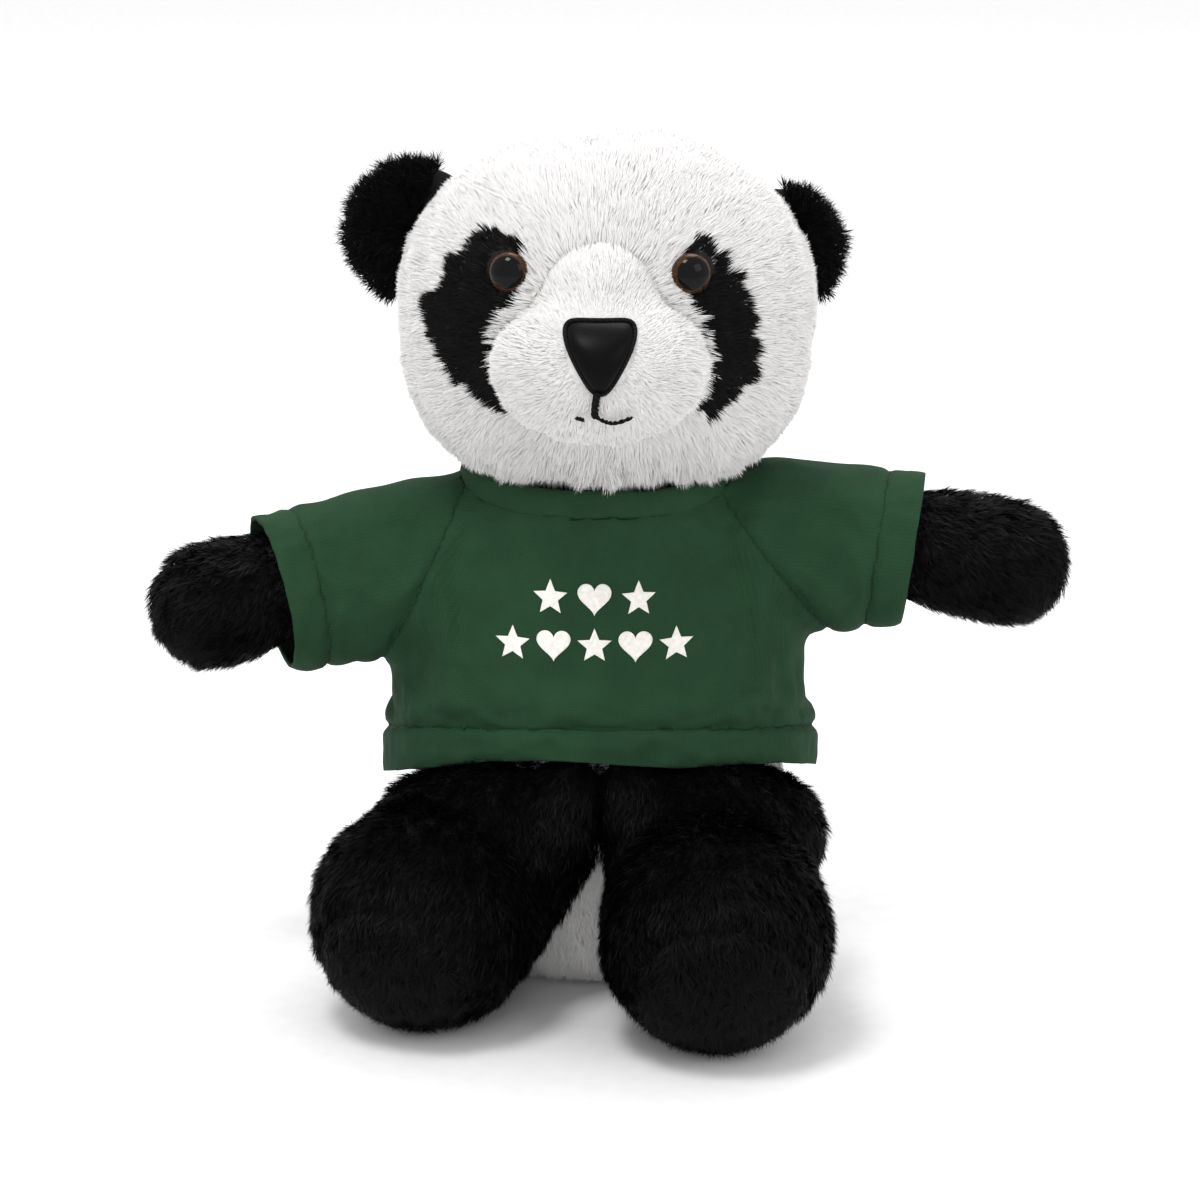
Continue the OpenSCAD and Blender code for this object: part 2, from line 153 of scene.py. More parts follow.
def pileMaterial(name, rootShadeToTip, shade, roughness, smooth, **sockets):
    # cut pile: each hair is darker at its root, which is painted shade deep among the hairs, and no two hairs
    # are quite the same tone
    mat, shader = startMaterial(name, roughness, **sockets)
    strand = addNode(mat, "UVMap", {"uv_map": "OFBake"})
    parts = addNode(mat, "SeparateXYZ", links={"Vector": strand.outputs["UV"]})
    along = addRamp(mat, parts.outputs["Y"], rootShadeToTip)
    spread = addRamp(mat, parts.outputs["X"], shade)
    both = addNode(mat, "Mix", {"data_type": "RGBA", "blend_type": "MULTIPLY"}, Factor=1.0)
    mat.node_tree.links.new(along, both.inputs[6])
    mat.node_tree.links.new(spread, both.inputs[7])
    connect(mat, both.outputs[2], shader, "Base Color")
    # hairs take part of their shading from the cloth below, as dense pile does
    cloth = addNode(mat, "Attribute", {"attribute_name": "clothNormal"})
    turned = addNode(mat, "VectorTransform",
                     {"vector_type": "NORMAL", "convert_from": "OBJECT", "convert_to": "WORLD"},
                     {"Vector": cloth.outputs["Vector"]})
    own = addNode(mat, "NewGeometry")
    agree = addNode(mat, "VectorMath", {"operation": "DOT_PRODUCT"})
    mat.node_tree.links.new(own.outputs["Normal"], agree.inputs[0])
    mat.node_tree.links.new(turned.outputs["Vector"], agree.inputs[1])
    amount = addNode(mat, "MapRange", links={"Value": agree.outputs["Value"]}, To_Max=smooth)
    amount.inputs["From Max"].default_value = 0.35
    blend = addNode(mat, "Mix", {"data_type": "VECTOR"})
    mat.node_tree.links.new(amount.outputs["Result"], blend.inputs[0])
    mat.node_tree.links.new(own.outputs["Normal"], blend.inputs[4])
    mat.node_tree.links.new(turned.outputs["Vector"], blend.inputs[5])
    unit = addNode(mat, "VectorMath", {"operation": "NORMALIZE"}, {"Vector": blend.outputs[1]})
    connect(mat, unit.outputs["Vector"], shader, "Normal")
    return mat


def backingMaterial(name, low, high, roughness):
    # knitted backing seen between the hairs: mottled and matt
    mat, shader = startMaterial(name, roughness)
    place = addNode(mat, "TexCoord")
    mottle = addNode(mat, "TexNoise", links={"Vector": place.outputs["Object"]}, Scale=900, Detail=4)
    connect(mat, addRamp(mat, mottle.outputs["Fac"], [(0.3, low), (0.7, high)]), shader, "Base Color")
    bump = addNode(mat, "Bump", links={"Height": mottle.outputs["Fac"]}, Strength=0.6, Distance=0.0004)
    connect(mat, bump.outputs["Normal"], shader, "Normal")
    return mat


def jerseyMaterial(name, low, high, stitch):
    # fine cotton jersey: wales run down the cloth and courses cross them, twice as coarse as real
    mat, shader = startMaterial(name, 0.9, Specular_IOR_Level=0.2)
    cloth = addNode(mat, "UVMap", {"uv_map": "Knit"})
    perWave = 2 * math.pi / 20 / (stitch * mm)
    wales = addNode(mat, "TexWave", {"bands_direction": "X"}, {"Vector": cloth.outputs["UV"]},
                    Scale=perWave, Distortion=0.6, Detail=1)
    courses = addNode(mat, "TexWave", {"bands_direction": "Y"}, {"Vector": cloth.outputs["UV"]},
                      Scale=perWave * 1.3, Distortion=0.9, Detail=1)
    place = addNode(mat, "TexCoord")
    mottle = addNode(mat, "TexNoise", links={"Vector": place.outputs["Object"]}, Scale=120, Detail=6)
    fuzz = addNode(mat, "TexNoise", links={"Vector": place.outputs["Object"]}, Scale=2600, Detail=2)
    loops = addNode(mat, "Math", {"operation": "MULTIPLY"})
    mat.node_tree.links.new(wales.outputs["Fac"], loops.inputs[0])
    mat.node_tree.links.new(courses.outputs["Fac"], loops.inputs[1])
    # three tenths of the colour follows the knit loops, darker between them as painted shade; the rest is
    # random mottle
    tone = addNode(mat, "Mix", {"data_type": "FLOAT"}, Factor=0.3)
    mat.node_tree.links.new(mottle.outputs["Fac"], tone.inputs[2])
    mat.node_tree.links.new(loops.outputs[0], tone.inputs[3])
    connect(mat, addRamp(mat, tone.outputs[0], [(0.2, low), (0.75, high)]), shader, "Base Color")
    weave = addNode(mat, "Bump", links={"Height": loops.outputs[0]}, Strength=0.35, Distance=0.00012)
    down = addNode(mat, "Bump", links={"Height": fuzz.outputs["Fac"], "Normal": weave.outputs["Normal"]},
                   Strength=0.25, Distance=0.0001)
    connect(mat, down.outputs["Normal"], shader, "Normal")
    return mat


def threadMaterial(name, low, high, twist, roughness):
    # spun thread: plies wind round it and catch the light one after another; the colour is painted lighter
    # along each ply as a painted highlight, and the bump follows the same plies
    mat, shader = startMaterial(name, roughness, Specular_IOR_Level=0.15)
    place = addNode(mat, "TexCoord")
    plies = addNode(mat, "TexWave", {"bands_direction": "DIAGONAL"}, {"Vector": place.outputs["Object"]},
                    Scale=2 * math.pi / 20 / (twist * mm), Distortion=1.5, Detail=2)
    connect(mat, addRamp(mat, plies.outputs["Fac"], [(0.1, low), (0.9, high)]), shader, "Base Color")
    bump = addNode(mat, "Bump", links={"Height": plies.outputs["Fac"]}, Strength=0.7, Distance=0.00012)
    connect(mat, bump.outputs["Normal"], shader, "Normal")
    return mat


def plainMaterial(name, low, high, grain, roughness, bumpHeight, **sockets):
    # one finish broken up by a grain of a real size
    mat, shader = startMaterial(name, roughness, **sockets)
    place = addNode(mat, "TexCoord")
    noise = addNode(mat, "TexNoise", links={"Vector": place.outputs["Object"]},
                    Scale=1 / (grain * mm), Detail=5)
    connect(mat, addRamp(mat, noise.outputs["Fac"], [(0.3, low), (0.7, high)]), shader, "Base Color")
    bump = addNode(mat, "Bump", links={"Height": noise.outputs["Fac"]}, Strength=0.4,
                   Distance=bumpHeight * mm)
    connect(mat, bump.outputs["Normal"], shader, "Normal")
    return mat


# both pile colours darken towards the hair root: painted shade among the hairs
whitePile = pileMaterial("whiteCutPile", [(0.0, "#d0cecc"), (0.4, "#e9e8e7"), (1.0, "#f1f0f0")],
                         [(0.0, "#f0efee"), (1.0, "#ffffff")], 0.85, 0.75, Sheen_Weight=0.1)
# black hairs: the lighter tips and the wide spread from hair to hair are partly random tone and partly
# painted highlights on single strands
blackPile = pileMaterial("blackCutPile", [(0.0, "#010101"), (0.5, "#080808"), (1.0, "#1b1b1c")],
                         [(0.0, "#3c3c3c"), (0.75, "#a8a8a8"), (1.0, "#ffffff")], 0.45, 0.3,
                         Specular_IOR_Level=0.08)
# the white backing is painted grey like the hair roots, as shade between the hairs
whiteBacking = backingMaterial("whiteKnitBacking", "#cfcdca", "#e4e2e0", 0.95)
blackBacking = backingMaterial("blackKnitBacking", "#030303", "#080808", 0.95)
greenJersey = jerseyMaterial("greenCottonJersey", "#193621", "#22432b", 0.75)
blackThread = threadMaterial("blackPolyesterThread", "#050506", "#101011", 0.7, 0.8)
noseSatin = plainMaterial("blackSatinWeave", "#030303", "#080809", 0.5, 0.36, 0.04, Specular_IOR_Level=0.07)
printInk = plainMaterial("offWhiteScreenPrint", "#dcdad2", "#f1efe8", 0.9, 0.6, 0.04)
fibreFill = backingMaterial("loosePolyesterFibre", "#dedbd2", "#f5f2ea", 1.0)
nylon = plainMaterial("mouldedNylon", "#dddad0", "#ece9e0", 1.5, 0.45, 0.03)
labelSatin = plainMaterial("wovenSatinTape", "#e3e3e3", "#f6f6f6", 0.35, 0.38, 0.03)
eyeBlack = plainMaterial("polishedBlackPupil", "#020202", "#050505", 3, 0.05, 0.001, Specular_IOR_Level=0.16)
eyeAmber = plainMaterial("amberIrisPlastic", "#26150a", "#4d2f18", 0.9, 0.1, 0.005, Specular_IOR_Level=0.16)
floorPaper = plainMaterial("matWhitePaper", "#f1f1f1", "#f5f5f5", 4, 0.95, 0.005)

# shared making


def pick(*objects):
    bpy.ops.object.select_all(action="DESELECT")
    for o in objects:
        o.select_set(True)
    bpy.context.view_layer.objects.active = objects[0]


def fromBmesh(name, bm):
    mesh = bpy.data.meshes.new(name)
    bm.to_mesh(mesh)
    bm.free()
    piece = bpy.data.objects.new(name, mesh)
    scene.collection.objects.link(piece)
    return piece


def applyModifier(piece, kind, **settings):
    pick(piece)
    modifier = piece.modifiers.new("step", kind)
    for key, value in settings.items():
        setattr(modifier, key, value)
    bpy.ops.object.modifier_apply(modifier="step")


def places(piece):
    co = np.zeros(len(piece.data.vertices) * 3)
    piece.data.vertices.foreach_get("co", co)
    return co.reshape(-1, 3)


def normalsOf(piece):
    normals = np.zeros(len(piece.data.vertices) * 3)
    piece.data.vertex_normals.foreach_get("vector", normals)
    return normals.reshape(-1, 3)


def movePlaces(piece, co):
    piece.data.vertices.foreach_set("co", co.astype(np.float32).ravel())
    piece.data.update()


def unit(v):
    return v / np.maximum(np.linalg.norm(v, axis=-1, keepdims=True), 1e-9)


def ripple(p, size, seed, waves=5):
    # a smooth random field of about -1 to 1 that varies over the given size
    rng = np.random.default_rng(seed)
    total = np.zeros(len(p))
    for _ in range(waves):
        way = unit(rng.normal(size=3)) * 2 * math.pi / (size * mm * rng.uniform(0.7, 1.6))
        total += np.sin(p @ way + rng.uniform(0, 6.283))
    return total / math.sqrt(waves)


def bell(distance, width):
    return np.exp(-(distance / width) ** 2)


def ballForm(name, balls, voxel, smooth):
    # balls are (place, radii) in mm; remeshed into one closed skin
    bm = bmesh.new()
    for centre, radii in balls:
        made = bmesh.ops.create_icosphere(bm, subdivisions=4, radius=1)
        for v in made["verts"]:
            v.co = Vector([(v.co[i] * radii[i] + centre[i]) * mm for i in range(3)])
    piece = fromBmesh(name, bm)
    applyModifier(piece, "REMESH", mode="VOXEL", voxel_size=voxel * mm)
    applyModifier(piece, "SMOOTH", factor=0.5, iterations=smooth)
    return piece


def joinRings(bm, lower, upper, closed=True):
    count = len(lower)
    for i in range(count if closed else count - 1):
        j = (i + 1) % count
        bm.faces.new((lower[i], lower[j], upper[j], upper[i]))


def dropFaces(piece, isGone):
    # takes away the faces whose middles isGone picks
    bm = bmesh.new()
    bm.from_mesh(piece.data)
    gone = isGone(np.array([f.calc_center_median() for f in bm.faces]))
    bmesh.ops.delete(bm, geom=[f for f, out in zip(bm.faces, gone) if out], context="FACES")
    bm.to_mesh(piece.data)
    bm.free()


def ringLoft(bm, stations, segments):
    # each station is (centre, across, up) in mm, and the ends are closed
    rings = []
    for centre, across, up in stations:
        ring = []
        for i in range(segments):
            a = 2 * math.pi * i / segments
            p = Vector(centre) + Vector(across) * math.cos(a) + Vector(up) * math.sin(a)
            ring.append(bm.verts.new(p * mm))
        rings.append(ring)
    for lower, upper in zip(rings, rings[1:]):
        joinRings(bm, lower, upper)
    bm.faces.new(rings[0][::-1])
    bm.faces.new(rings[-1])


plushCloth = {"mass": 0.2, "stiffness": 12, "bending": 0.4, "shrink": 0, "gravity": 0}
jerseyCloth = {"mass": 0.15, "stiffness": 8, "bending": 0.25, "shrink": -0.035, "gravity": 1,
               "pressure": 0.6, "frames": 16, "cap": 1.8}


def settleCloth(piece, held, s):
    # lets the cloth move between the places that are held, each no further than the cap
    rest = places(piece)
    group = piece.vertex_groups.new(name="held")
    group.add([int(i) for i in np.nonzero(held)[0]], 1.0, "REPLACE")
    modifier = piece.modifiers.new("settle", "CLOTH")
    modifier.collision_settings.use_collision = False
    cloth = modifier.settings
    cloth.quality = 4
    cloth.mass = s["mass"]
    cloth.tension_stiffness = s["stiffness"]
    cloth.compression_stiffness = s["stiffness"]
    cloth.bending_stiffness = s["bending"]
    cloth.shrink_min = s["shrink"]
    cloth.use_pressure = True
    cloth.uniform_pressure_force = s["pressure"]
    cloth.vertex_group_mass = "held"
    cloth.effector_weights.gravity = s["gravity"]
    for f in range(1, s["frames"] + 1):
        scene.frame_set(f)
    settled = piece.evaluated_get(bpy.context.evaluated_depsgraph_get())
    moved = np.zeros(len(rest) * 3)
    settled.data.vertices.foreach_get("co", moved)
    piece.modifiers.remove(modifier)
    scene.frame_set(1)
    move = moved.reshape(-1, 3) - rest
    far = np.linalg.norm(move, axis=1, keepdims=True)
    movePlaces(piece, rest + move * np.minimum(1, s["cap"] * mm / np.maximum(far, 1e-9)))
    piece.vertex_groups.clear()


def puff(piece, s, pinned):
    # stuffing presses the cloth out between its seams
    settleCloth(piece, pinned(places(piece)), {**plushCloth, **s})
    applyModifier(piece, "SUBSURF", levels=1, render_levels=1)
    print("  puffed", piece.name, len(piece.data.vertices))


def cutAway(piece, point, normal, fill=True, keepAll=False):
    # cuts by a plane and takes away what lies on the normal's side
    pick(piece)
    bpy.ops.object.mode_set(mode="EDIT")
    bpy.ops.mesh.select_all(action="SELECT")
    bpy.ops.mesh.bisect(plane_co=point, plane_no=normal, use_fill=fill and not keepAll,
                        clear_outer=not keepAll)
    bpy.ops.object.mode_set(mode="OBJECT")


def copyPiece(piece, name):
    twin = piece.copy()
    twin.data = piece.data.copy()
    twin.name = name
    scene.collection.objects.link(twin)
    return twin


def finishPiece(piece, body, mat, replaced=(), smooth=True):
    if smooth:
        piece.data.polygons.foreach_set("use_smooth", [True] * len(piece.data.polygons))
    piece.data.materials.clear()
    piece.data.materials.append(mat)
    if body:
        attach(piece, body)
    if replaced:
        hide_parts(*replaced)




def addFilling(skin, name, body, node):
    # the loose fibre packed inside a skin
    filling = copyPiece(skin, name)
    applyModifier(filling, "DECIMATE", ratio=0.5)
    movePlaces(filling, places(filling) - normalsOf(filling) * 2.4 * mm)
    finishPiece(filling, body, fibreFill, (node,))


# pile: hairs are thin folded blades, rooted in the cloth

pile = {"width": 0.24, "most": 95000, "quickShare": 0.35}


def rootsOn(piece, perSquareMm, rng):
    mesh = piece.data
    mesh.calc_loop_triangles()
    tris = np.zeros(len(mesh.loop_triangles) * 3, np.int32)
    mesh.loop_triangles.foreach_get("vertices", tris)
    tris = tris.reshape(-1, 3)
    co = places(piece)
    normals = normalsOf(piece)
    a, b, c = (co[tris[:, i]] for i in range(3))
    area = np.linalg.norm(np.cross(b - a, c - a), axis=1) / 2
    count = int(area.sum() / mm ** 2 * perSquareMm)
    chosen = rng.choice(len(tris), size=count, p=area / area.sum())
    u = np.sqrt(rng.random((count, 1)))
    v = rng.random((count, 1))
    shares = (1 - u, u * (1 - v), u * v)
    p = sum(share * co[tris[chosen, i]] for i, share in enumerate(shares))
    n = unit(sum(share * normals[tris[chosen, i]] for i, share in enumerate(shares)))
    return p, n


def growPile(name, cloth, s, seed, comb, keep, body, mat):
    # s: perSquareMm, length, lift, stray; comb gives the way hairs lie and how long they are there
    rng = np.random.default_rng(seed)
    density = s["perSquareMm"] * 1
    p, n = rootsOn(cloth, density, rng)
    kept = keep(p, n)
    p, n = p[kept], n[kept]
    way, share, rise = (comb(p, n) + (1,))[:3]
    way = way + s["stray"] * rng.normal(size=p.shape)
    clump = s.get("clump", 1)
    for size, amount, k in ((9, 0.28 * clump, 1), (3.5, 0.3 * clump, 2)):
        side = unit(np.cross(n, way))
        way = unit(way) + amount * ripple(p, size, seed + k)[:, None] * side
    way = unit(way - n * np.sum(way * n, axis=1, keepdims=True))
    length = s["length"] * mm * share * rng.uniform(0.7, 1.15, len(p))
    length = length * (1 + 0.15 * ripple(p, 5, seed + 3))
    lift = (s["lift"] * rise * rng.uniform(0.75, 1.3, len(p)))[:, None]
    lower = unit(way + n * lift * 1.5)
    upper = unit(way + n * lift * 0.7 + 0.5 * s["stray"] * rng.normal(size=p.shape))
    root = p - n * 0.2 * mm
    mid = root + lower * length[:, None] * 0.5
    tip = mid + upper * length[:, None] * 0.5
    tip[:, 2] = np.maximum(tip[:, 2], 0.15 * mm)
    mid[:, 2] = np.maximum(mid[:, 2], 0.1 * mm)
    flat = unit(np.cross(lower, n) + 0.35 * rng.normal(size=p.shape))
    half = flat * pile["width"] * mm / 2 * rng.uniform(0.7, 1.2, (len(p), 1))
    groups = max(1, math.ceil(len(p) / pile["most"]))
    for g in range(groups):
        part = slice(g * len(p) // groups, (g + 1) * len(p) // groups)
        label = name if groups == 1 else name + str(g + 1)
        bladePiece(label, root[part], mid[part], tip[part], half[part], n[part], rng, body, mat)
    print("  pile", name, len(p))


def bladePiece(name, root, mid, tip, half, n, rng, body, mat):
    count = len(root)
    verts = np.stack((root, mid - half, mid + half, tip), axis=1).reshape(-1, 3)
    first = np.arange(count)[:, None] * 4
    corners = (first + np.array([[0, 2, 1, 1, 2, 3]])).ravel().astype(np.int32)
    mesh = bpy.data.meshes.new(name)
    mesh.vertices.add(count * 4)
    mesh.vertices.foreach_set("co", verts.astype(np.float32).ravel())
    mesh.loops.add(count * 6)
    mesh.loops.foreach_set("vertex_index", corners)
    mesh.polygons.add(count * 2)
    mesh.polygons.foreach_set("loop_start", np.arange(0, count * 6, 3, dtype=np.int32))
    mesh.update(calc_edges=True)
    hair = rng.random(count) * 0.96 + 0.02
    across = np.array([0, 0.004, -0.004, -0.004, 0.004, 0])
    up = np.array([0.02, 0.5, 0.5, 0.5, 0.5, 0.98])
    uv = np.stack((hair[:, None] + across, np.broadcast_to(up, (count, 6))), axis=2)
    mesh.uv_layers.new(name="OFBake").data.foreach_set("uv", uv.astype(np.float32).ravel())
    clothNormal = mesh.attributes.new("clothNormal", "FLOAT_VECTOR", "POINT")
    clothNormal.data.foreach_set("vector", np.repeat(n, 4, axis=0).astype(np.float32).ravel())
    piece = bpy.data.objects.new(name, mesh)
    scene.collection.objects.link(piece)
    finishPiece(piece, body, mat, smooth=False)


# head: a white ball with full cheeks, made in a front and a back half

headSize = {"inset": 2.6, "cheek": 26, "cheekOut": 18, "cheekDrop": 11, "voxel": 2.6}
headPuff = {"pressure": 4, "frames": 12, "cap": 1.2}
headPile = {"perSquareMm": 12, "length": 4.0, "lift": 0.34, "stray": 0.09, "clump": 0.6}
chinPile = {"grow": 1.0, "hang": 1.6, "below": 22, "over": 12, "across": 30}

lowFront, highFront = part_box("head_front")
lowBack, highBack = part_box("head_back")
headHalfW = (highFront.x - lowFront.x) / 2 / mm
headR = (highBack.y - lowFront.y) / 2 / mm
headMid = Vector(((highFront.x + lowFront.x) / 2, (highBack.y + lowFront.y) / 2, highFront.z)) / mm
headMid.z -= headR
seamY = lowBack.y
muzzleLow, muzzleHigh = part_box("muzzle")
muzzleMid = (muzzleLow + muzzleHigh) / 2 / mm
muzzleMid.y = headMid.y - 37
muzzleMid.z += 0.8
noseLow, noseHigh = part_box("nose")
noseMid = (noseLow + noseHigh) / 2


def makeHead():
    s = headSize
    cheekZ = headMid.z - s["cheekDrop"]
    balls = [(headMid, (headHalfW - s["inset"], headR - s["inset"], headR - s["inset"]))]
    for side in (1, -1):
        balls.append(((headMid.x + side * s["cheekOut"], headMid.y - 3, cheekZ), (s["cheek"],) * 3))
    skin = ballForm("headSkin", balls, s["voxel"], 12)

    def onSeam(p):
        return np.abs(p[:, 1] - seamY) < 2.2 * mm

    puff(skin, headPuff, onSeam)
    co = places(skin)
    dip = 0.7 * mm * bell(co[:, 1] - seamY, 1.6 * mm)
    movePlaces(skin, co - normalsOf(skin) * dip[:, None])
    return skin


headSkin = makeHead()

muzzleSize = {"half": (22.5, 17, 15.6), "bridge": 12.5, "bridgeUp": 12.5, "voxel": 2}


def makeMuzzle():
    s = muzzleSize
    balls = [(muzzleMid, s["half"]),
             ((muzzleMid.x, muzzleMid.y + 5, muzzleMid.z + s["bridgeUp"]), (s["bridge"],) * 3)]
    skin = ballForm("muzzleSkin", balls, s["voxel"], 14)

    def inHead(p):
        return p[:, 1] > (muzzleMid.y + 8) * mm

    puff(skin, {"pressure": 3, "frames": 8, "cap": 0.6}, inHead)
    return skin


muzzleSkin = makeMuzzle()


def treeOf(*pieces):
    bm = bmesh.new()
    for piece in pieces:
        bm.from_mesh(piece.data)
    tree = BVHTree.FromBMesh(bm)
    bm.free()
    return tree


faceTree = treeOf(headSkin, muzzleSkin)


def onFace(x, z, lift=0):
    # the front of the face at a place across and up, in mm
    hit = faceTree.ray_cast(Vector((x, -200, z)) * mm, Vector((0, 1, 0)))
    return hit[0] + hit[1] * lift * mm


# each patch is a row of round blobs joined: across, up and radius in mm
patchBlobs = {
    "right": [(-20.8, 165, 6.9), (-29, 154, 7.4), (-26, 144.5, 5), (-19.8, 138, 2.4)],
    "left": [(19.5, 165.3, 5.2), (26, 155.5, 5), (27.3, 145, 4.6), (21.8, 136.6, 2.4)],
}
eyeSpot = {"right": (-18.9, 165.2), "left": (18.9, 165.2), "radius": 3.7}


def blobDistance(p, blobs):
    # how far outside the joined blobs each place lies, seen from the front, in mm
    q = p[:, [0, 2]] / mm
    best = np.full(len(q), 1e9)
    for (x0, z0, r0), (x1, z1, r1) in zip(blobs, blobs[1:]):
        way = np.array([x1 - x0, z1 - z0])
        t = np.clip(((q - [x0, z0]) @ way) / (way @ way), 0, 1)
        near = np.array([x0, z0]) + t[:, None] * way
        best = np.minimum(best, np.linalg.norm(q - near, axis=1) - (r0 + (r1 - r0) * t))
    return best


def patchOf(p):
    # below 0 inside a patch, with a ragged edge
    inside = np.minimum(blobDistance(p, patchBlobs["left"]), blobDistance(p, patchBlobs["right"]))
    inside = inside + 0.7 * ripple(p, 4, 61) + 0.4 * ripple(p, 1.6, 62)
    return np.where(p[:, 1] < (headMid.y - 8) * mm, inside, 99)


def eyeDistance(p):
    gaps = []
    for side in ("left", "right"):
        gaps.append(np.hypot(p[:, 0] / mm - eyeSpot[side][0], p[:, 2] / mm - eyeSpot[side][1]))
    return np.where(p[:, 1] < headMid.y * mm, np.minimum(*gaps), 99)


def headComb(p, n):
    # hairs lie away from the nose, and down from the chin, longest under the muzzle
    away = unit(p - np.array(noseMid) - [0, 0, 4 * mm])
    frontness = np.clip(-n[:, 1], 0, 1)[:, None]
    down = np.array([0, 0, -1.0])
    back = np.array([0, 1.0, -0.35])
    way = away * (0.4 + frontness) + back * (1 - frontness) * 0.8
    c = chinPile
    chin = np.clip((headMid.z - c["below"] - p[:, 2] / mm) / c["over"], 0, 1)
    way = way + down * chin[:, None] * 0.8
    fromMiddle = bell(p[:, 0] / mm - headMid.x, c["across"]) * np.clip(0.35 - n[:, 1], 0, 1) ** 0.5
    share = 1 + c["grow"] * chin * fromMiddle
    rise = 1 + c["hang"] * chin * fromMiddle
    seam = 1 - 0.45 * bell((p[:, 1] - seamY) / mm, 1.2)
    return way, share * seam, rise


def muzzleComb(p, n):
    away = unit(p - np.array(noseMid) + [0, -6 * mm, 0])
    gap = np.hypot((p[:, 0] - noseMid.x) / mm, (p[:, 2] - noseMid.z) / mm)
    way = away + np.array([0, 0.6, 0])
    return way, np.clip(0.42 + (gap - 8) / 22, 0.42, 0.95)


muzzleTree = treeOf(muzzleSkin)
headTree = treeOf(headSkin)


def outside(tree, p):
    # places that don't lie inside a closed skin
    kept = np.ones(len(p), bool)
    for i, place in enumerate(p):
        near, normal, _, gap = tree.find_nearest(Vector(place))
        kept[i] = (Vector(place) - near).dot(normal) > -0.0002
    return kept


def inNose(p):
    q = (p - np.array(noseMid)) / mm
    reach = np.hypot(q[:, 0] / 7.2, q[:, 2] / 7.4)
    return (reach < 0.86) & (p[:, 1] < headMid.y * mm - 0.03)


def whiteOnHead(p, n):
    kept = (patchOf(p) > 0) & (eyeDistance(p) > eyeSpot["radius"])
    kept &= p[:, 2] > (headMid.z - headR + 1) * mm
    near = (p[:, 1] < -0.02) & (np.abs(p[:, 0]) < 0.026) & kept
    index = np.nonzero(near)[0]
    kept[index] = outside(muzzleTree, p[index])
    return kept


def blackOnHead(p, n):
    kept = (patchOf(p) <= 0) & (eyeDistance(p) > eyeSpot["radius"])
    index = np.nonzero(kept)[0]
    kept[index] = outside(muzzleTree, p[index])
    return kept


def whiteOnMuzzle(p, n):
    kept = ~inNose(p) & (p[:, 1] < (headMid.y - 20) * mm) & (eyeDistance(p) > eyeSpot["radius"])
    index = np.nonzero(kept)[0]
    kept[index] = outside(headTree, p[index])
    return kept


def makeHeadPieces():
    addFilling(headSkin, "headFilling", "head", "head_stuffing")
    front = copyPiece(headSkin, "headFront")
    cutAway(front, (0, seamY, 0), (0, 1, 0))
    finishPiece(front, "head", whiteBacking, ("head_front",))
    back = copyPiece(headSkin, "headBack")
    cutAway(back, (0, seamY, 0), (0, -1, 0))
    finishPiece(back, "head", whiteBacking, ("head_back",))
    for side in ("left", "right"):
        patch = copyPiece(front, "eyePatch" + side.capitalize())
        dropFaces(patch, lambda p: (blobDistance(p, patchBlobs[side]) > -0.6)
                  | (p[:, 1] > (headMid.y - 8) * mm))
        applyModifier(patch, "SOLIDIFY", thickness=0.9 * mm, offset=0)
        finishPiece(patch, "head", blackBacking, ("eye_patch_" + side,))
    finishPiece(muzzleSkin, "head", whiteBacking, ("muzzle",))
    growPile("headPile", headSkin, headPile, 11, headComb, whiteOnHead, "head", whitePile)
    growPile("patchPile", headSkin, dict(headPile, perSquareMm=13, length=3.6), 12, headComb, blackOnHead,
             "head", blackPile)
    growPile("muzzlePile", muzzleSkin, dict(headPile, perSquareMm=14), 13, muzzleComb,
             whiteOnMuzzle, "head", whitePile)


makeHeadPieces()
bpy.data.objects.remove(headSkin)
print("head done")

# eyes: turned plastic, a black dome in an amber ring, on a shank

eyeShape = {"radius": 4.3, "pupil": 3.45, "dome": 3.0, "rim": 0.6, "shank": 1.6, "depth": 8}


def spinProfile(name, points, steps=64):
    # turns a profile of (radius, height) in mm round Z
    bpy.ops.object.select_all(action="DESELECT")
    bpy.ops.mesh.primitive_plane_add(size=mm)
    piece = bpy.context.object
    piece.name = name
    bpy.ops.object.mode_set(mode="EDIT")
    bpy.ops.mesh.delete(type="VERT")
    bpy.ops.object.mode_set(mode="OBJECT")
    bm = bmesh.new()
    line = [bm.verts.new((r * mm, 0, h * mm)) for r, h in points]
    for a, b in zip(line, line[1:]):
        bm.edges.new((a, b))
    bm.to_mesh(piece.data)
    bm.free()
    bpy.ops.object.mode_set(mode="EDIT")
    bpy.ops.mesh.select_all(action="SELECT")
    bpy.ops.mesh.spin(steps=steps, angle=2 * math.pi, center=(0, 0, 0), axis=(0, 0, 1))
    bpy.ops.mesh.select_all(action="SELECT")
    bpy.ops.mesh.remove_doubles(threshold=1e-6)
    bpy.ops.mesh.normals_make_consistent(inside=False)
    bpy.ops.object.mode_set(mode="OBJECT")
    return piece


def arcPoints(r, rise, lift, a0, a1, steps):
    return [(r * math.cos(math.radians(a)), lift + rise * math.sin(math.radians(a)))
            for a in [a0 + (a1 - a0) * i / steps for i in range(steps + 1)]]


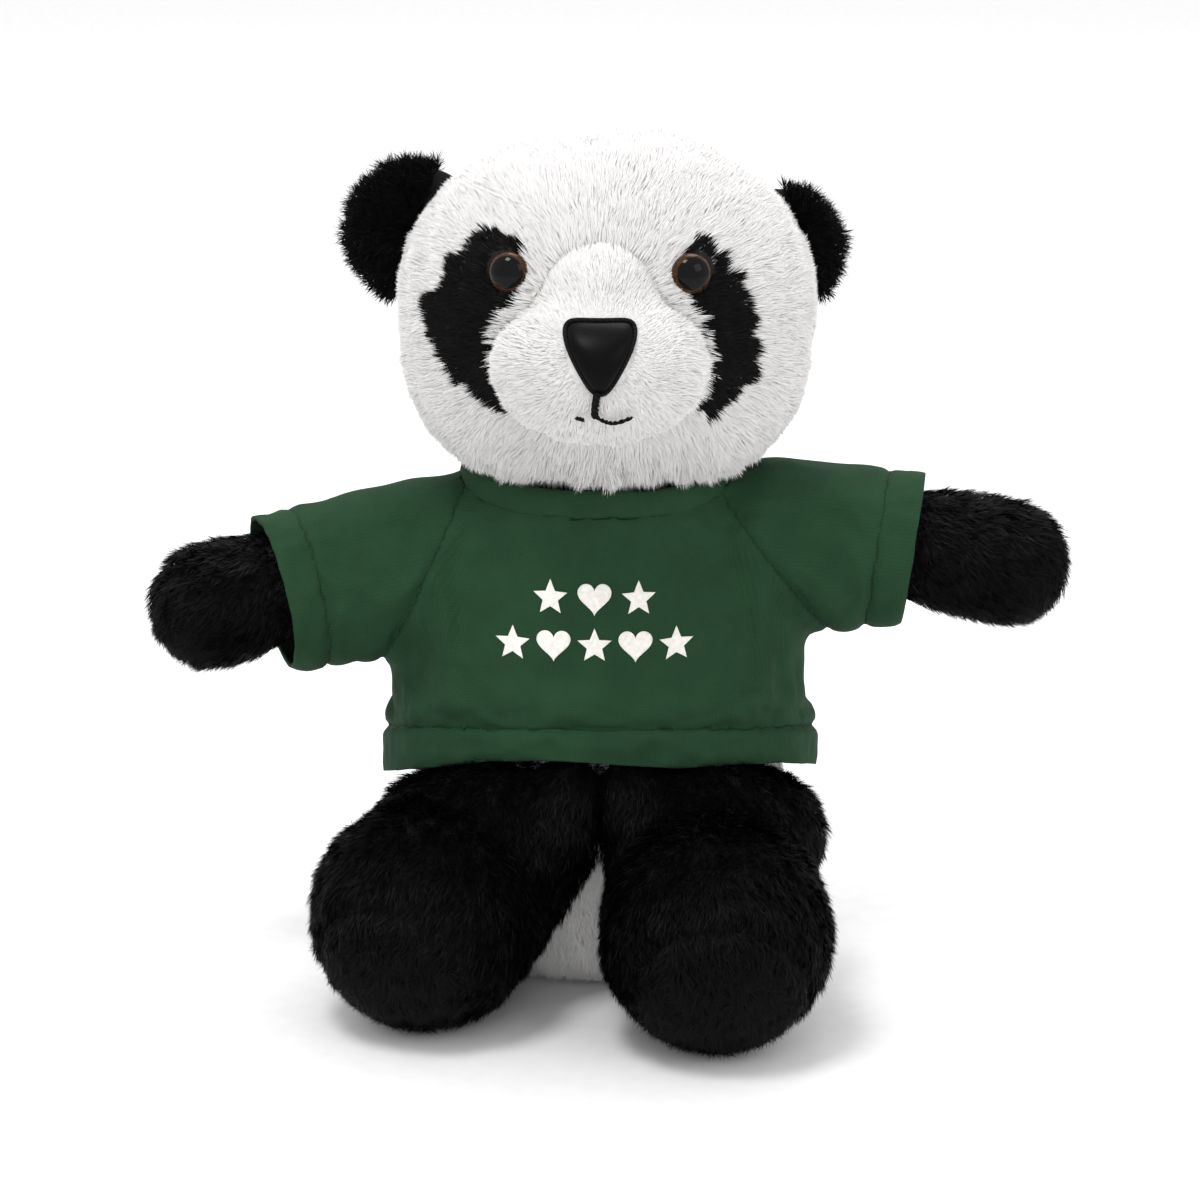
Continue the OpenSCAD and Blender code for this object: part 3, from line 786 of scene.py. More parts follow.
def makeEye(side):
    s = eyeShape
    dome = arcPoints(s["radius"], s["dome"], s["rim"], 0, 90, 18)
    profile = [(0, -s["depth"]), (s["shank"], -s["depth"]), (s["shank"], 0), (s["radius"] - 0.3, 0),
               (s["radius"], 0.3)] + dome
    eye = spinProfile("eye" + side.capitalize(), profile)
    x, z = eyeSpot[side]
    at = onFace(x, z, 0.4)
    look = Vector((x * 0.5, -38, 6)).normalized()
    turn = look.to_track_quat("Z", "Y").to_matrix().to_4x4()
    turn.translation = at
    eye.data.transform(turn)
    finishPiece(eye, "head", eyeAmber, ("eye_" + side,))
    eye.data.materials.append(eyeBlack)
    for f in eye.data.polygons:
        q = Vector(f.center) - at
        if (q - look * q.dot(look)).length < s["pupil"] * mm:
            f.material_index = 1


for side in ("left", "right"):
    makeEye(side)
print("eyes done")

# nose: padded satin in a stitched edge, and the mouth below it

noseShape = {"rings": 10, "points": 96, "puff": 2.1, "raise": 0.8, "cord": 0.5,
             "sides": [((0, 1), 6.7), ((1, 0.1), 8.1), ((0.87, -0.5), 5.1), ((0, -1), 7.9)], "power": 7}
mouthShape = {"thread": 0.75, "thin": 0.42, "rise": 1.8, "twist": 0.55,
              "upright": [(-0.6, 144.6), (-0.9, 142.8), (-1.0, 140.6)],
              "smile": [(-1.2, 140.7), (0.8, 139.4), (3.0, 138.9), (6.2, 139.9)],
              "short": [(-4.6, 140.0), (-3.2, 139.6)]}


def noseReach(a):
    s = noseShape
    total = 0
    for (nx, nz), gap in s["sides"]:
        for mirrored in ((nx, -nx) if nx else (nx,)):
            total += max(0, (math.cos(a) * mirrored + math.sin(a) * nz) / gap) ** s["power"]
    return total ** (-1 / s["power"])


def tubeAlong(bm, points, radius, sides=8, closed=False):
    # points in metres; a round tube that follows them
    rings = []
    count = len(points)
    for i, p in enumerate(points):
        before = points[(i - 1) % count] if closed or i else points[0]
        after = points[(i + 1) % count] if closed or i < count - 1 else points[-1]
        way = (after - before).normalized()
        across = way.cross(Vector((0, -1, 0.2))).normalized()
        up = across.cross(way)
        rings.append([bm.verts.new(p + (across * math.cos(t) + up * math.sin(t)) * radius)
                      for t in [2 * math.pi * k / sides for k in range(sides)]])
    pairs = list(zip(rings, rings[1:]))
    if closed:
        pairs.append((rings[-1], rings[0]))
    for lower, upper in pairs:
        joinRings(bm, lower, upper)
    if not closed:
        bm.faces.new(rings[0][::-1])
        bm.faces.new(rings[-1])


def makeNose():
    s = noseShape
    cx, cz = noseMid.x / mm, noseMid.z / mm
    bm = bmesh.new()
    rings = []
    for k in range(s["rings"] + 2):
        share = min(1, k / s["rings"])
        height = s["raise"] + s["puff"] * math.sqrt(max(0, 1 - share ** 2.6))
        if k > s["rings"]:
            height = -1.5
        ring = []
        for i in range(s["points"] if k else 1):
            a = 2 * math.pi * i / s["points"]
            r = noseReach(a) * share
            x, z = cx + r * math.cos(a), cz + r * math.sin(a)
            ring.append(bm.verts.new(onFace(x, z) + Vector((0, -height * mm, 0))))
        rings.append(ring)
    for i in range(s["points"]):
        bm.faces.new((rings[0][0], rings[1][i], rings[1][(i + 1) % s["points"]]))
    for inner, outer in zip(rings[1:], rings[2:]):
        joinRings(bm, outer, inner)
    bm.faces.new(rings[-1][::-1])
    edge = [v.co.copy() + Vector((0, -0.25 * mm, 0)) for v in rings[s["rings"]]]
    bmesh.ops.recalc_face_normals(bm, faces=bm.faces)
    nose = fromBmesh("nosePad", bm)
    finishPiece(nose, "head", noseSatin, ("nose",))
    bm = bmesh.new()
    tubeAlong(bm, edge, s["cord"] * mm, closed=True)
    bmesh.ops.recalc_face_normals(bm, faces=bm.faces)
    finishPiece(fromBmesh("noseEdging", bm), "head", blackThread)


def smoothPath(points, steps):
    # a round path through places across and up the face, lifted to the ends of the hairs
    out = []
    padded = [points[0]] + list(points) + [points[-1]]
    for a, b, c, d in zip(padded, padded[1:], padded[2:], padded[3:]):
        for i in range(steps):
            t = i / steps
            spot = [0.5 * (2 * b[k] + (c[k] - a[k]) * t + (2 * a[k] - 5 * b[k] + 4 * c[k] - d[k]) * t * t
                           + (3 * b[k] - a[k] - 3 * c[k] + d[k]) * t ** 3) for k in (0, 1)]
            out.append(onFace(spot[0], spot[1], mouthShape["rise"]))
    out.append(onFace(points[-1][0], points[-1][1], mouthShape["rise"]))
    return out


def makeMouth():
    s = mouthShape
    bm = bmesh.new()
    for path, radius in ((s["upright"], s["thread"]), (s["smile"], s["thin"]), (s["short"], s["thin"])):
        line = smoothPath(path, 16)
        for ply in (0, 1):
            twisted = []
            for i, p in enumerate(line):
                t = math.pi * ply + i * s["twist"]
                twisted.append(p + Vector((math.cos(t), math.sin(t) * 0.6, math.sin(t))) * radius * 0.5 * mm)
            tubeAlong(bm, twisted, radius * 0.62 * mm)
    bmesh.ops.recalc_face_normals(bm, faces=bm.faces)
    finishPiece(fromBmesh("mouthStitches", bm), "head", blackThread, ("mouth_stitches",))


makeNose()
makeMouth()
print("nose and mouth done")

# ears: two round layers of plush, sewn at the rim

earShape = {"thick": 3.0, "cup": 1.6,
            "right": {"radius": 14.4, "sink": 3.4, "drop": 0},
            "left": {"radius": 13.4, "sink": 8.2, "drop": 2.4}}
earPile = {"perSquareMm": 15, "length": 3.8, "lift": 0.8, "stray": 0.4}


def makeEar(side):
    s = earShape
    base = joints["ear_%s_flap" % side] / mm
    out = (Vector((base.x, 0, base.z)) - Vector((headMid.x, 0, headMid.z))).normalized()
    r = s[side]["radius"]
    centre = base - out * s[side]["sink"] - Vector((0, 0, s[side]["drop"]))
    bm = bmesh.new()
    made = bmesh.ops.create_icosphere(bm, subdivisions=5, radius=1)
    hinge = Vector((0, 1, 0)).cross(out)
    for v in made["verts"]:
        flat = Vector((v.co.x, v.co.y, 0))
        bulge = math.copysign(abs(v.co.z) ** 0.8, v.co.z) * s["thick"]
        cup = -s["cup"] * (1 - flat.length_squared) * (1 if v.co.z < 0 else 0.3)
        v.co = (centre + out * v.co.x * r + hinge * v.co.y * r + Vector((0, bulge - cup, 0))) * mm
    ear = fromBmesh("earSkin" + side, bm)
    middle = base.y * mm
    for label, way in (("Front", 1), ("Back", -1)):
        half = copyPiece(ear, "ear" + label + side.capitalize())
        cutAway(half, (0, middle, 0), (0, way, 0))
        finishPiece(half, "ear_" + side, blackBacking, ("ear_%s_%s" % (label.lower(), side),))

    def comb(p, n):
        away = unit(p - np.array(base - out * 8) * mm)
        rim = np.linalg.norm(p - np.array(centre) * mm, axis=1) / (r * mm)
        return away, 0.9 + 0.25 * np.clip(rim, 0, 1)

    def keep(p, n):
        return (p - np.array(base) * mm) @ np.array(out) > -3 * mm

    growPile("earPile" + side.capitalize(), ear, earPile, 21 + len(side), comb, keep, "ear_" + side,
             blackPile)
    bpy.data.objects.remove(ear)


for side in ("left", "right"):
    makeEar(side)
print("ears done")

# limbs: each runs from its joint along the middle of its CAD skin


def limbLine(node, joint):
    co = places(frame["nodes"][node])
    root = np.array(joints[joint])
    way = unit(co.mean(axis=0) - root)
    reach = ((co - root) @ way).max()
    return root, way, reach


limbPile = {"perSquareMm": 9, "length": 4.6, "lift": 0.55, "stray": 0.22}


def makeLimb(name, root, way, length, r0, r1, voxel, bend=0, more=()):
    balls = list(more)
    steps = 9
    for i in range(steps + 1):
        t = i / steps
        centre = root / mm + way * length / mm * t + np.array([0, 0, bend * 4 * t * (1 - t)])
        balls.append((centre, (r0 + (r1 - r0) * t,) * 3))
    return ballForm(name, balls, voxel, 8)


armShape = {"inset": 1.1, "root": 12.4, "paw": 13.8, "bend": 0.6, "voxel": 2, 
            "raise": {"left": 2.6, "right": 0}, "trim": {"left": 0, "right": 2.6}}


def makeArm(side):
    s = armShape
    root, way, reach = limbLine("arm_skin_" + side, "arm_%s_lift" % side)
    length = reach - (s["paw"] + s["trim"][side]) * mm
    root = root + np.array([0, 0, s["raise"][side] * mm])
    skin = makeLimb("armSkin" + side.capitalize(), root, way, length, s["root"] - s["inset"],
                    s["paw"] - s["inset"], s["voxel"], s["bend"])
    below = np.array([0, 0, -1.0])

    def onSeam(p):
        q = unit(np.cross(p - root, way))
        return np.abs(q @ unit(np.cross(way, below))) < 0.12

    puff(skin, {"pressure": 4, "frames": 10, "cap": 0.7}, onSeam)
    finishPiece(skin, "arm_" + side, blackBacking, ("arm_skin_" + side,))
    addFilling(skin, "armFilling" + side.capitalize(), "arm_" + side, "arm_stuffing_" + side)
    paw = root + way * length
    cuffLow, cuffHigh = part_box("cuff_" + side)
    cuffAt = (np.array(cuffLow) + np.array(cuffHigh)) / 2
    cuffGo = (cuffAt - root) @ way

    def comb(p, n):
        radial = unit(p - paw)
        atEnd = np.clip(((p - root) @ way - length) / (s["paw"] * mm), 0, 1)[:, None]
        lie = way * (1 - atEnd) + np.array([0, -0.25, -0.55])
        near = np.clip(((p - root) @ way - cuffGo) / (9 * mm), 0.35, 1)
        return lie + 0.1 * radial, near

    def keep(p, n):
        return (p - root) @ way > cuffGo - 2 * mm

    growPile("armPile" + side.capitalize(), skin, limbPile, 31 + len(side), comb, keep, "arm_" + side,
             blackPile)


legShape = {"inset": 0.8, "thigh": 20.4, "foot": 24.6, "voxel": 2.6, "spread": 56, "tilt": 26,
            "ankleOut": {"left": -0.8, "right": -2.6},
            "lap": [((24, -27, 33.5), 20.5), ((13, -29, 38), 13.4), ((6.6, -29, 46.6), 10),
                    ((37, -24, 36), 12.5)]}


def makeLeg(side):
    s = legShape
    root, way, reach = limbLine("leg_skin_" + side, "leg_%s_swing" % side)
    whole = max(reach, ((places(frame["nodes"]["foot_sole_" + side]) - root) @ way).max())
    length = whole - s["foot"] * mm
    way = unit(np.array([way[0], way[1], (s["foot"] * mm - root[2]) / length]))
    ankle = root + way * length + np.array([s["ankleOut"][side] * mm, 0, 0])
    way = unit(ankle - root)
    mirror = np.array([1 if side == "left" else -1, 1, 1])
    lap = [(np.array(place) * mirror, (radius,) * 3) for place, radius in s["lap"]]
    skin = makeLimb("legForm" + side, root, way, length, s["thigh"] - s["inset"], s["foot"] - s["inset"],
                    s["voxel"], more=lap)
    tilt = math.radians(s["tilt"])
    flatWay = unit(np.array([way[0], way[1], 0]))
    soleWay = flatWay * math.cos(tilt) - np.array([0, 0, math.sin(tilt)])
    seamGo = s["foot"] * math.cos(math.radians(s["spread"])) * mm

    def beyond(p):
        return (p - ankle) @ soleWay - seamGo

    def onSeam(p):
        return np.abs(beyond(p)) < 2 * mm

    puff(skin, {"pressure": 4, "frames": 12, "cap": 1.0}, onSeam)
    co = places(skin)
    past = beyond(co)
    co = co - soleWay * np.where(past > 0, past * 0.06, 0)[:, None]
    co = co - normalsOf(skin) * (0.6 * mm * bell(past, 1.5 * mm))[:, None]
    co[:, 2] = np.maximum(co[:, 2], 0.9 * mm)
    movePlaces(skin, co)
    seamPoint = ankle + soleWay * seamGo
    addFilling(skin, "legFilling" + side.capitalize(), "leg_" + side, "leg_stuffing_" + side)
    leg = copyPiece(skin, "legSkin" + side.capitalize())
    cutAway(leg, seamPoint, soleWay)
    sole = copyPiece(skin, "footSole" + side.capitalize())
    cutAway(sole, seamPoint, -soleWay)
    finishPiece(leg, "leg_" + side, blackBacking, ("leg_skin_" + side,))
    finishPiece(sole, "leg_" + side, blackBacking, ("foot_sole_" + side,))

    def comb(p, n):
        q = beyond(p)
        atEnd = np.clip(q / (8 * mm), 0, 1)[:, None]
        down = np.array([0, 0, -0.75])
        lie = way * (1 - atEnd) * 0.9 + down + unit(p - seamPoint) * atEnd * 0.6
        return lie, 1 - 0.5 * bell(q / mm, 1.1)

    def keep(p, n):
        return (p[:, 2] > 2 * mm) & ((p - root) @ way > -14 * mm)

    growPile("legPile" + side.capitalize(), skin, limbPile, 41 + len(side), comb, keep, "leg_" + side,
             blackPile)
    bpy.data.objects.remove(skin)


for side in ("left", "right"):
    makeArm(side)
    makeLeg(side)
print("limbs done")

# torso: a white bag with a flat seat and a black yoke round the neck

torsoShape = {"inset": 1.1, "voxel": 2.8,
              "rings": [(0.9, 30.5, 25.5), (7, 38, 31), (20, 41.8, 34), (32, 42.3, 34.3), (58, 41, 32.5),
                        (84, 38, 29), (98, 33, 25), (104, 28, 22), (109, 21, 18.5), (115, 18, 16.5)]}
torsoPile = {"perSquareMm": 8, "length": 4.2, "lift": 0.4, "stray": 0.2}
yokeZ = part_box("shoulder_yoke")[0].z


def makeTorso():
    s = torsoShape
    stations = [((0, 0, z), (w - s["inset"], 0, 0), (0, d - s["inset"], 0)) for z, w, d in s["rings"]]
    bm = bmesh.new()
    ringLoft(bm, stations, 64)
    form = fromBmesh("torsoForm", bm)
    applyModifier(form, "REMESH", mode="VOXEL", voxel_size=s["voxel"] * mm)
    applyModifier(form, "SMOOTH", factor=0.5, iterations=6)

    def onSeam(p):
        return (np.abs(p[:, 2] - yokeZ) < 2 * mm) | (p[:, 2] < 3 * mm)

    puff(form, {"pressure": 4, "frames": 10, "cap": 0.8}, onSeam)
    co = places(form)
    co[:, 2] = np.maximum(co[:, 2], 0.5 * mm)
    movePlaces(form, co)
    addFilling(form, "torsoFilling", "torso", "torso_stuffing")
    skin = copyPiece(form, "torsoSkin")
    cutAway(skin, (0, 0, yokeZ), (0, 0, 1))
    yoke = copyPiece(form, "shoulderYoke")
    cutAway(yoke, (0, 0, yokeZ), (0, 0, -1))
    finishPiece(skin, "torso", whiteBacking, ("torso_skin",))
    finishPiece(yoke, "torso", blackBacking, ("shoulder_yoke",))

    def comb(p, n):
        return np.broadcast_to([0, 0, -1.0], p.shape) + 0.3 * n, np.ones(len(p))

    def low(p, n):
        hemLine = 46 * mm - 0.3 * p[:, 1]
        return (p[:, 2] > 2.5 * mm) & (p[:, 2] < hemLine)

    def high(p, n):
        return p[:, 2] > 103 * mm

    def outwards(p, n):
        way = unit(p * np.array([1, 1, 0])) + np.array([0, 0, 0.5])
        return way, np.full(len(p), 1.6)

    growPile("torsoPile", form, torsoPile, 51, comb, low, "torso", whitePile)
    growPile("yokePile", form, torsoPile, 52, outwards, high, "torso", blackPile)
    bpy.data.objects.remove(form)


makeTorso()
print("torso done")

# shirt: one knitted form, cut along its seams into panels

shirtShape = {
    "rings": [(22, 49, 39), (34, 49.2, 39.2), (44, 49.2, 38.8), (55, 48.8, 37.8), (65, 47, 36.3),
              (80, 45.5, 34), (92, 42, 31), (100, 38, 28), (107, 33.5, 25.5), (112, 30, 23), (120, 26, 20)],
    "voxel": 1.9, "thick": 0.9, "hem": 9, "cuff": 8,
    "hemZ": 44, "hemTilt": math.tan(math.radians(17)), "roll": 1.8, "under": 0.9, "groove": 0.55, "wave": 1.1,
    "collarTilt": 4 / 24, "collarLean": 0.03, "collarZ": 112,
    "collarHole": (31, 24.6),
}
sleeveShape = {
    "right": {"root": (-28, 0, 93), "rootR": 19.5, "middleR": 19, "raise": 0,
              "seam": ((-30, 111), (-48, 73)), "cuffR": 16.5},
    "left": {"root": (28, 0, 97.5), "rootR": 17.8, "middleR": 19, "raise": 2.6,
              "seam": ((25, 113), (47.5, 83)), "cuffR": 16.8},
}
shirtFolds = [
    # across and up at each end, width and depth in mm
    ((-64, 98), (-55, 79), 3.2, 0.9), ((-47, 84), (-40, 76), 3.5, 0.8), ((47, 99), (57, 86), 3.0, 0.7),
    ((44, 88), (38, 80), 3.5, 0.6), ((-20, 70), (22, 72), 6, 0.5),
]


def seamPlane(side):
    (x0, z0), (x1, z1) = sleeveShape[side]["seam"]
    out = Vector((abs(z1 - z0) * (1 if side == "left" else -1), 0, abs(x1 - x0))).normalized()
    return Vector((x0, 0, z0)) * mm, out


def cuffPlane(side, back=0):
    co = places(frame["nodes"]["cuff_" + side])
    root, way, _ = limbLine("arm_skin_" + side, "arm_%s_lift" % side)
    reach = ((co - root) @ way).max() - back * mm
    return Vector(root + way * reach), Vector(way)


def hemPlane(up=0):
    tilt = Vector((0, shirtShape["hemTilt"], 1)).normalized()
    return Vector((0, 0, shirtShape["hemZ"] + up)) * mm, tilt


def collarPlane():
    s = shirtShape
    return Vector((0, 0, s["collarZ"])) * mm, Vector((-s["collarLean"], -s["collarTilt"], 1)).normalized()


def aboveOf(p, plane):
    point, normal = plane
    return (p - np.array(point)) @ np.array(normal)


def makeGarment():
    s = shirtShape
    bm = bmesh.new()
    ringLoft(bm, [((0, 0, z), (w, 0, 0), (0, d, 0)) for z, w, d in s["rings"]], 96)
    garment = fromBmesh("garment", bm)
    for side in ("left", "right"):
        t = sleeveShape[side]
        point, way = cuffPlane(side)
        end = (point + way * 6 * mm) / mm + Vector((0, 0, t["raise"]))
        across = way.cross(Vector((0, 0, 1))).normalized()
        up = across.cross(way)
        bm = bmesh.new()
        bm.from_mesh(garment.data)
        ringLoft(bm, [(t["root"], across * 18.5, up * t["rootR"]),
                      (Vector(t["root"]).lerp(end, 0.5), across * 18.5, up * t["middleR"]),
                      (end, across * t["cuffR"], up * t["cuffR"])], 64)
        bm.to_mesh(garment.data)
        bm.free()
    applyModifier(garment, "REMESH", mode="VOXEL", voxel_size=s["voxel"] * mm)
    applyModifier(garment, "SMOOTH", factor=0.5, iterations=14)
    for side in ("left", "right"):
        cutAway(garment, *cuffPlane(side), fill=False)
        cutAway(garment, *cuffPlane(side, s["cuff"]), keepAll=True)
        cutAway(garment, *seamPlane(side), keepAll=True)
    cutAway(garment, *collarPlane(), keepAll=True)
    halfW, halfD = s["collarHole"]
    dropFaces(garment, lambda p: ((p[:, 0] / halfW / mm) ** 2 + (p[:, 1] / halfD / mm) ** 2 < 1)
              & (aboveOf(p, collarPlane()) > 0))
    point, up = hemPlane()
    cutAway(garment, point, -up, fill=False)
    cutAway(garment, *hemPlane(s["hem"]), keepAll=True)
    cutAway(garment, (0, 0, 0), (0, 1, 0), keepAll=True)
    return garment


def seamGaps(p):
    # the nearest distance of each place to each seam line
    gaps = [np.abs(aboveOf(p, hemPlane(shirtShape["hem"])))]
    for side in ("left", "right"):
        gaps.append(np.abs(aboveOf(p, cuffPlane(side, shirtShape["cuff"]))))
        gaps.append(np.abs(aboveOf(p, seamPlane(side))))
    return gaps


def loosen(garment):
    # the cloth is a little too big between its seams, and settles into soft folds
    rest = places(garment)
    held = np.abs(aboveOf(rest, hemPlane())) < 1 * mm
    held |= np.abs(aboveOf(rest, collarPlane())) < 2 * mm
    for side in ("left", "right"):
        held |= np.abs(aboveOf(rest, cuffPlane(side))) < 1 * mm
    held |= np.min(seamGaps(rest), axis=0) < 1 * mm
    settleCloth(garment, held, jerseyCloth)


def foldGarment(garment):
    # seams sink, and the arms and the lap press in folds
    s = shirtShape
    co = places(garment)
    n = normalsOf(garment)
    push = np.zeros(len(co))
    for gap in seamGaps(co):
        push -= s["groove"] * bell(gap, 0.9 * mm)
    lap = aboveOf(co, hemPlane(s["hem"])) / mm
    front = np.clip(-co[:, 1] / (20 * mm), 0, 1)
    push += s["roll"] * bell(lap - 5.5, 4.5) * (0.35 + 0.65 * front)
    push -= s["under"] * bell(lap - 0.3, 1.3) * (0.3 + 0.7 * front)
    for (x0, z0), (x1, z1), width, depth in shirtFolds:
        q = co[:, [0, 2]] / mm
        way = np.array([x1 - x0, z1 - z0])
        t = np.clip(((q - [x0, z0]) @ way) / (way @ way), 0, 1)
        gap = np.linalg.norm(q - ([x0, z0] + t[:, None] * way), axis=1)
        push -= depth * bell(gap, width) * (co[:, 1] < 0)
    push += 0.35 * ripple(co, 26, 71) + 0.18 * ripple(co, 12, 72)
    co = co + n * (push * mm)[:, None]
    hemNear = bell(aboveOf(co, hemPlane()) / mm, 5)
    co[:, 2] += s["wave"] * mm * hemNear * ripple(co * [1, 1, 0], 60, 73)
    movePlaces(garment, co)


def addKnitMap(piece, p0, way):
    # cloth coordinates in metres: round the body or the arm, and along it
    co = places(piece)
    if p0 is None:
        along = co[:, 2]
        around = np.arctan2(co[:, 0], -co[:, 1]) * 42 * mm
    else:
        q = co - p0
        along = q @ way
        side = unit(np.cross(way, [0, 0, 1.0]))
        up = np.cross(side, way)
        around = np.arctan2(q @ side, q @ up) * 17 * mm
    uv = np.stack((around, along), axis=1)
    loops = np.zeros(len(piece.data.loops), np.int32)
    piece.data.loops.foreach_get("vertex_index", loops)
    layer = piece.data.uv_layers.new(name="Knit")
    layer.data.foreach_set("uv", uv[loops].astype(np.float32).ravel())


def takePanel(garment, name, wanted):
    panel = copyPiece(garment, name)
    dropFaces(panel, lambda p: ~wanted(p))
    return panel


def makeShirt():
    s = shirtShape
    garment = makeGarment()
    loosen(garment)
    applyModifier(garment, "SUBSURF", levels=1, render_levels=1)
    foldGarment(garment)

    def pastSeam(p, side):
        return aboveOf(p, seamPlane(side)) > 0

    def pastCuff(p, side):
        return aboveOf(p, cuffPlane(side, s["cuff"])) > 0

    def body(p):
        return ~pastSeam(p, "left") & ~pastSeam(p, "right")

    def overHem(p):
        return aboveOf(p, hemPlane(s["hem"])) > 0

    panels = {
        "shirtFront": lambda p: body(p) & overHem(p) & (p[:, 1] < 0),
        "shirtBack": lambda p: body(p) & overHem(p) & (p[:, 1] >= 0),
        "shirtHem": lambda p: body(p) & ~overHem(p),
    }
    nodes = {"shirtFront": "shirt_front", "shirtBack": "shirt_back", "shirtHem": "shirt_hem"}
    # flat width, length and area in metres
    for name, wanted in panels.items():
        panel = takePanel(garment, name, wanted)
        addKnitMap(panel, None, None)
        applyModifier(panel, "SOLIDIFY", thickness=s["thick"] * mm, offset=-1)
        finishPiece(panel, "torso", greenJersey, (nodes[name],))
    for side in ("left", "right"):
        label = side.capitalize()
        root, way, _ = limbLine("arm_skin_" + side, "arm_%s_lift" % side)
        sleeve = takePanel(garment, "sleeve" + label,
                           lambda p: pastSeam(p, side) & ~pastCuff(p, side))
        cuff = takePanel(garment, "cuff" + label, lambda p: pastSeam(p, side) & pastCuff(p, side))
        sleeveArea = {"left": 0.0023, "right": 0.0030}[side]
        for piece, flat, area in ((sleeve, (0.112, 0.038), sleeveArea), (cuff, (0.106, 0.0105), 0.0011)):
            addKnitMap(piece, root, way)
            applyModifier(piece, "SOLIDIFY", thickness=s["thick"] * mm, offset=-1)
        finishPiece(sleeve, None, greenJersey, ("sleeve_" + side,))
        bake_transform(sleeve)
        finishPiece(cuff, "arm_" + side, greenJersey, ("cuff_" + side,))
    return garment


garment = makeShirt()

collarShape = {"halfW": 30.6, "halfD": 24, "height": 5.4, "gap": 0.9, "thick": 0.5, "lean": 1.3}


def makeNeckband():
    # a strip folded double along its top edge, standing up round the neck
    s = collarShape
    point, up = collarPlane()
    across = Vector((1, 0, 0))
    deep = up.cross(across)
    top = s["height"]
    profile = [(0.3, -1), (0.45, 0.6), (0.4, top * 0.4), (0.25, top * 0.75), (-0.1, top - 0.25),
               (-s["gap"] / 2, top), (-s["gap"], top - 0.3), (-s["gap"] - 0.1, top * 0.7),
               (-s["gap"], top * 0.35), (-s["gap"], -1)]
    bm = bmesh.new()
    rings = []
    steps = 144
    for i in range(steps):
        a = 2 * math.pi * i / steps
        wave = 0.35 * math.sin(3 * a + 0.6) + 0.2 * math.sin(7 * a)
        out = across * math.cos(a) * s["halfW"] + deep * math.sin(a) * s["halfD"]
        outWay = out.normalized()
        rings.append([bm.verts.new(point + (out + outWay * (o - s["lean"] * (max(0, h) / top) ** 1.4)
                                            + up * (h + wave)) * mm) for o, h in profile])
    for i in range(steps):
        joinRings(bm, rings[(i + 1) % steps], rings[i], closed=False)
    band = fromBmesh("shirtNeckband", bm)
    addKnitMap(band, None, None)
    applyModifier(band, "SOLIDIFY", thickness=s["thick"] * mm, offset=0)
    finishPiece(band, "torso", greenJersey, ("shirt_neckband",))


makeNeckband()

printShape = {"rows": [(91.5, 3, 9.6), (81.5, 5, 8.9)], "size": 3.9, "middle": -1.2, "thick": 0.16}


def markOutline(kind, a):
    if kind == "star":
        turn = math.radians(abs((math.degrees(a) - 90 + 36) % 72 - 36))
        reach = 0.26 / (0.26 * math.cos(turn) + 0.63 * math.sin(turn))
        return math.cos(a) * reach, math.sin(a) * reach
    x = math.sin(a) ** 3
    z = (13 * math.cos(a) - 5 * math.cos(2 * a) - 2 * math.cos(3 * a) - math.cos(4 * a)) / 16
    return x * 0.95, z * 0.95 + 0.1


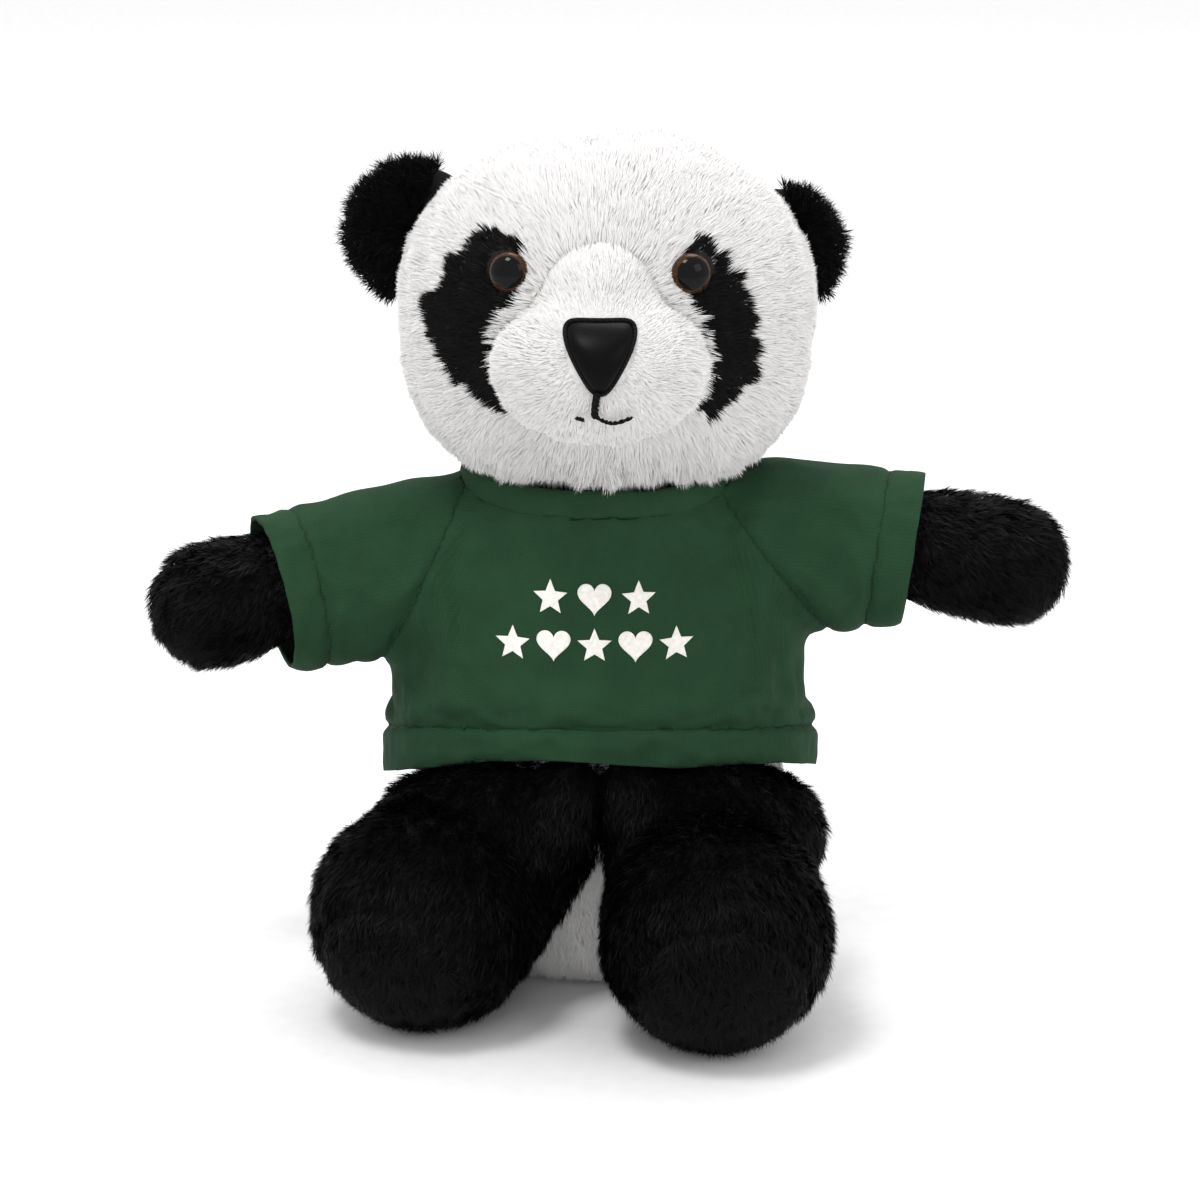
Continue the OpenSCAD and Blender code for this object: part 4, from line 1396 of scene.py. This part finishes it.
def makePrint():
    s = printShape
    tree = treeOf(garment)
    bm = bmesh.new()
    points, rings = 60, 7
    for z0, count, gap in s["rows"]:
        for i in range(count):
            kind = "star" if i % 2 == 0 else "heart"
            x0 = s["middle"] + gap * (i - (count - 1) / 2)
            made = []
            for k in range(rings + 1):
                ring = []
                for t in range(points if k else 1):
                    x, z = markOutline(kind, 2 * math.pi * t / points)
                    x, z = (x0 + x * s["size"] * k / rings, z0 + z * s["size"] * k / rings)
                    hit = tree.ray_cast(Vector((x, -200, z)) * mm, Vector((0, 1, 0)))
                    ring.append(bm.verts.new(hit[0] + hit[1] * 0.06 * mm))
                made.append(ring)
            for t in range(points):
                bm.faces.new((made[0][0], made[1][t], made[1][(t + 1) % points]))
            for inner, outer in zip(made[1:], made[2:]):
                joinRings(bm, outer, inner)
    bmesh.ops.recalc_face_normals(bm, faces=bm.faces)
    marks = fromBmesh("shirtPrint", bm)
    n = normalsOf(marks)
    if n[:, 1].mean() > 0:
        marks.data.flip_normals()
    applyModifier(marks, "SOLIDIFY", thickness=s["thick"] * mm, offset=1)
    finishPiece(marks, "torso", printInk, ("shirt_print",))


makePrint()
bpy.data.objects.remove(garment)
print("shirt done")

# care label: a blank folded satin tag in the seam at the back of the seat

labelShape = {"width": 14, "drop": 15, "thick": 0.25, "gap": 0.7}


def makeLabel():
    s = labelShape
    low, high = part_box("care_label")
    x, y, z = (low.x + high.x) / 2, low.y, high.z
    outline = []
    for i in range(9):
        t = i / 8
        outline.append((1.0 + 1.2 * t * t, -s["drop"] * t))
    for i in range(1, 6):
        a = math.pi * i / 6
        outline.append((2.2 + s["gap"] / 2 * (1 - math.cos(a)), -s["drop"] - s["gap"] / 2 * math.sin(a)))
    for i in range(9):
        t = 1 - i / 8
        outline.append((1.0 + s["gap"] * t + 1.2 * t * t, -s["drop"] * t))
    bm = bmesh.new()
    columns = 13
    grid = []
    for k in range(columns):
        across = (k / (columns - 1) - 0.5) * s["width"]
        curl = 0.9 * (2 * k / (columns - 1) - 1) ** 2
        grid.append([bm.verts.new((x + across * mm, y + (dy + curl * -dz / s["drop"]) * mm, z + dz * mm))
                     for dy, dz in outline])
    for left, right in zip(grid, grid[1:]):
        joinRings(bm, right, left, closed=False)
    label = fromBmesh("careLabel", bm)
    applyModifier(label, "SOLIDIFY", thickness=s["thick"] * mm, offset=0)
    finishPiece(label, "torso", labelSatin, ("care_label",))


makeLabel()
print("label done")

# the fibre in the neck and the washers behind the eyes stay as the CAD has them
for node in frame["nodes"]:
    if node == "neck_stuffing" or "washer" in node:
        part = frame["nodes"][node]
        part.data.materials.clear()
        part.data.materials.append(fibreFill if "stuffing" in node else nylon)

# floor
bpy.ops.object.select_all(action="DESELECT")
bpy.ops.mesh.primitive_plane_add(size=8)
floor = bpy.context.object
floor.name = "studioFloor"
floor.data.materials.append(floorPaper)
